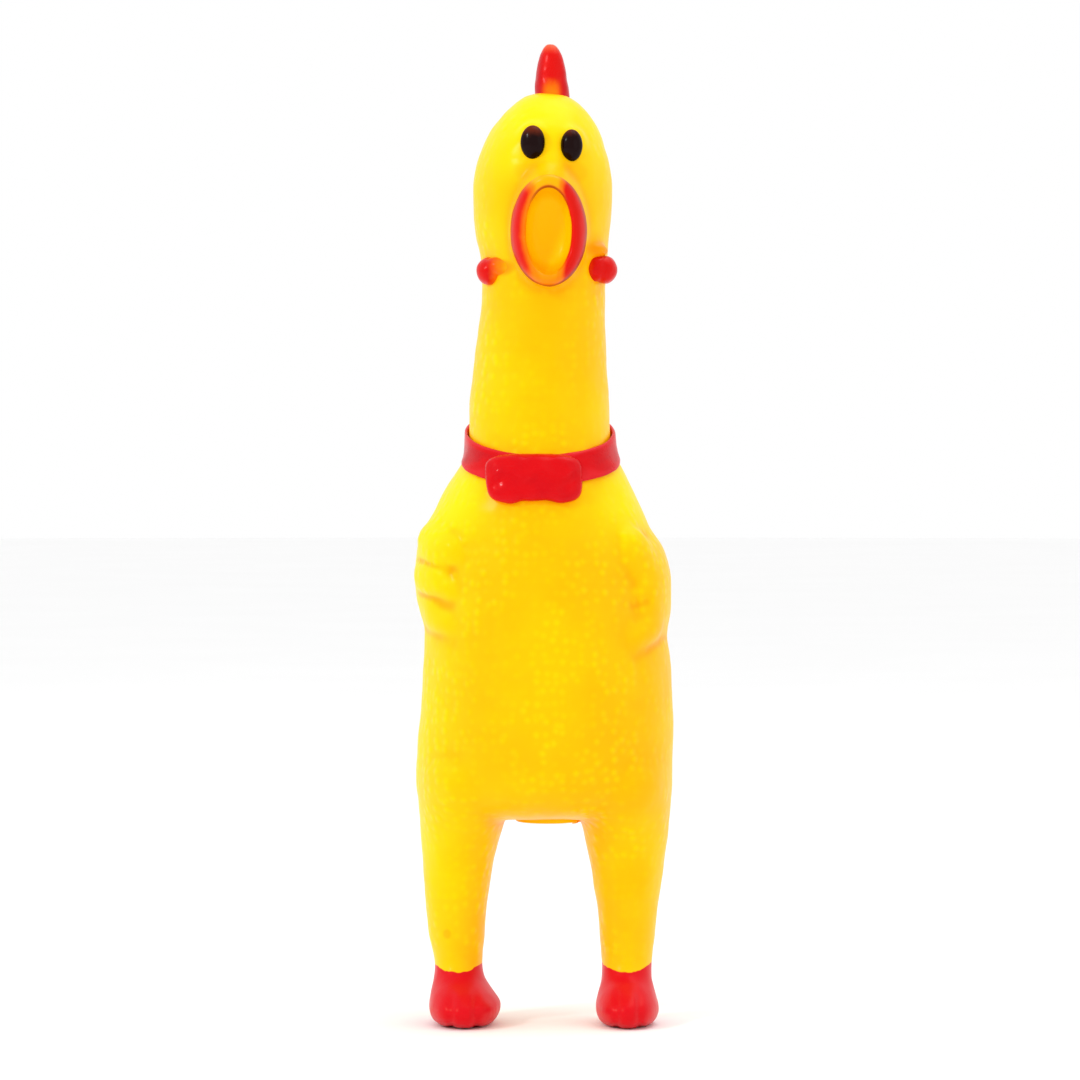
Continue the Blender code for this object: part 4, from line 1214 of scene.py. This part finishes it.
class CHICKEN_OT_stage(bpy.types.Operator):
    """Adds the floor, the lights and the camera"""

    bl_idname = "chicken.stage"
    bl_label = "Set the stage"

    def execute(self, context):
        scene = context.scene
        scene.view_settings.view_transform = "Standard"
        world = bpy.data.worlds.new("studio")
        scene.world = world
        world.use_nodes = True
        world.node_tree.nodes["Background"].inputs["Color"].default_value = (1.0, 1.0, 1.0, 1.0)
        world.node_tree.nodes["Background"].inputs["Strength"].default_value = 1.0

        bm = bmesh.new()
        bmesh.ops.create_circle(bm, cap_ends=True, segments=96, radius=6.0)
        floor = mesh_object("floor", bm)
        finish = Finish("pale floor", roughness=0.8, specular_ior_level=0.2)
        colour = finish.mix(finish.noise(0.15, 2.0), (0.95, 0.95, 0.95), (0.98, 0.98, 0.98))
        floor.data.materials.append(finish.wear(base_color=colour))

        middle = Vector((0, 0, 0.155))
        for name, place, size, power in (
            ("key", (-1.05, -0.80, 0.95), 0.24, 6.0),
            ("fill", (0.95, -0.9, 0.45), 0.9, 0.8),
            ("top", (0.3, 0.0, 1.2), 0.8, 3.0),
        ):
            light = bpy.data.lights.new(name, "AREA")
            light.shape = "DISK"
            light.size = size
            light.energy = power
            lamp = bpy.data.objects.new(name, light)
            scene.collection.objects.link(lamp)
            lamp.location = place
            lamp.rotation_euler = (middle - Vector(place)).to_track_quat("-Z", "Y").to_euler()

        camera = bpy.data.objects.new("camera", bpy.data.cameras.new("camera"))
        scene.collection.objects.link(camera)
        lens, sensor = 150.0, 36.0
        camera.data.lens = lens
        camera.data.sensor_width = sensor
        seen = 0.3402
        away = seen / 2 / (sensor / 2 / lens)
        elevation = math.radians(1.5)
        target = Vector((-0.0006, -0.010, 0.1534))
        back = Vector((0, -math.cos(elevation), math.sin(elevation)))
        camera.location = target + back * away
        camera.rotation_euler = (-back).to_track_quat("-Z", "Y").to_euler()
        scene.camera = camera
        return {"FINISHED"}


class CHICKEN_PT_panel(bpy.types.Panel):
    """Lists the steps in the sidebar"""

    bl_label = "Rubber Chicken"
    bl_idname = "CHICKEN_PT_panel"
    bl_space_type = "VIEW_3D"
    bl_region_type = "UI"
    bl_category = "Chicken"

    def draw(self, context):
        column = self.layout.column()
        for group in (context.scene.chicken_sizes, context.scene.chicken_colours):
            for name in group.__annotations__:
                column.prop(group, name)
        for operator in OPERATORS:
            column.operator(operator.bl_idname)


OPERATORS = (
    CHICKEN_OT_skin,
    CHICKEN_OT_beak,
    CHICKEN_OT_eyes,
    CHICKEN_OT_wattles,
    CHICKEN_OT_comb,
    CHICKEN_OT_collar,
    CHICKEN_OT_squeaker,
    CHICKEN_OT_stage,
)
CLASSES = (ChickenSizes, ChickenColours, *OPERATORS, CHICKEN_PT_panel)


def register():
    for kind in CLASSES:
        bpy.utils.register_class(kind)
    bpy.types.Scene.chicken_sizes = bpy.props.PointerProperty(type=ChickenSizes)
    bpy.types.Scene.chicken_colours = bpy.props.PointerProperty(type=ChickenColours)


def unregister():
    del bpy.types.Scene.chicken_colours
    del bpy.types.Scene.chicken_sizes
    for kind in reversed(CLASSES):
        bpy.utils.unregister_class(kind)


def main():
    register()
    bpy.ops.chicken.skin()
    bpy.ops.chicken.beak()
    bpy.ops.chicken.eyes()
    bpy.ops.chicken.wattles()
    bpy.ops.chicken.comb()
    bpy.ops.chicken.collar()
    bpy.ops.chicken.squeaker()
    bpy.ops.chicken.stage()


if __name__ == "__main__":
    main()
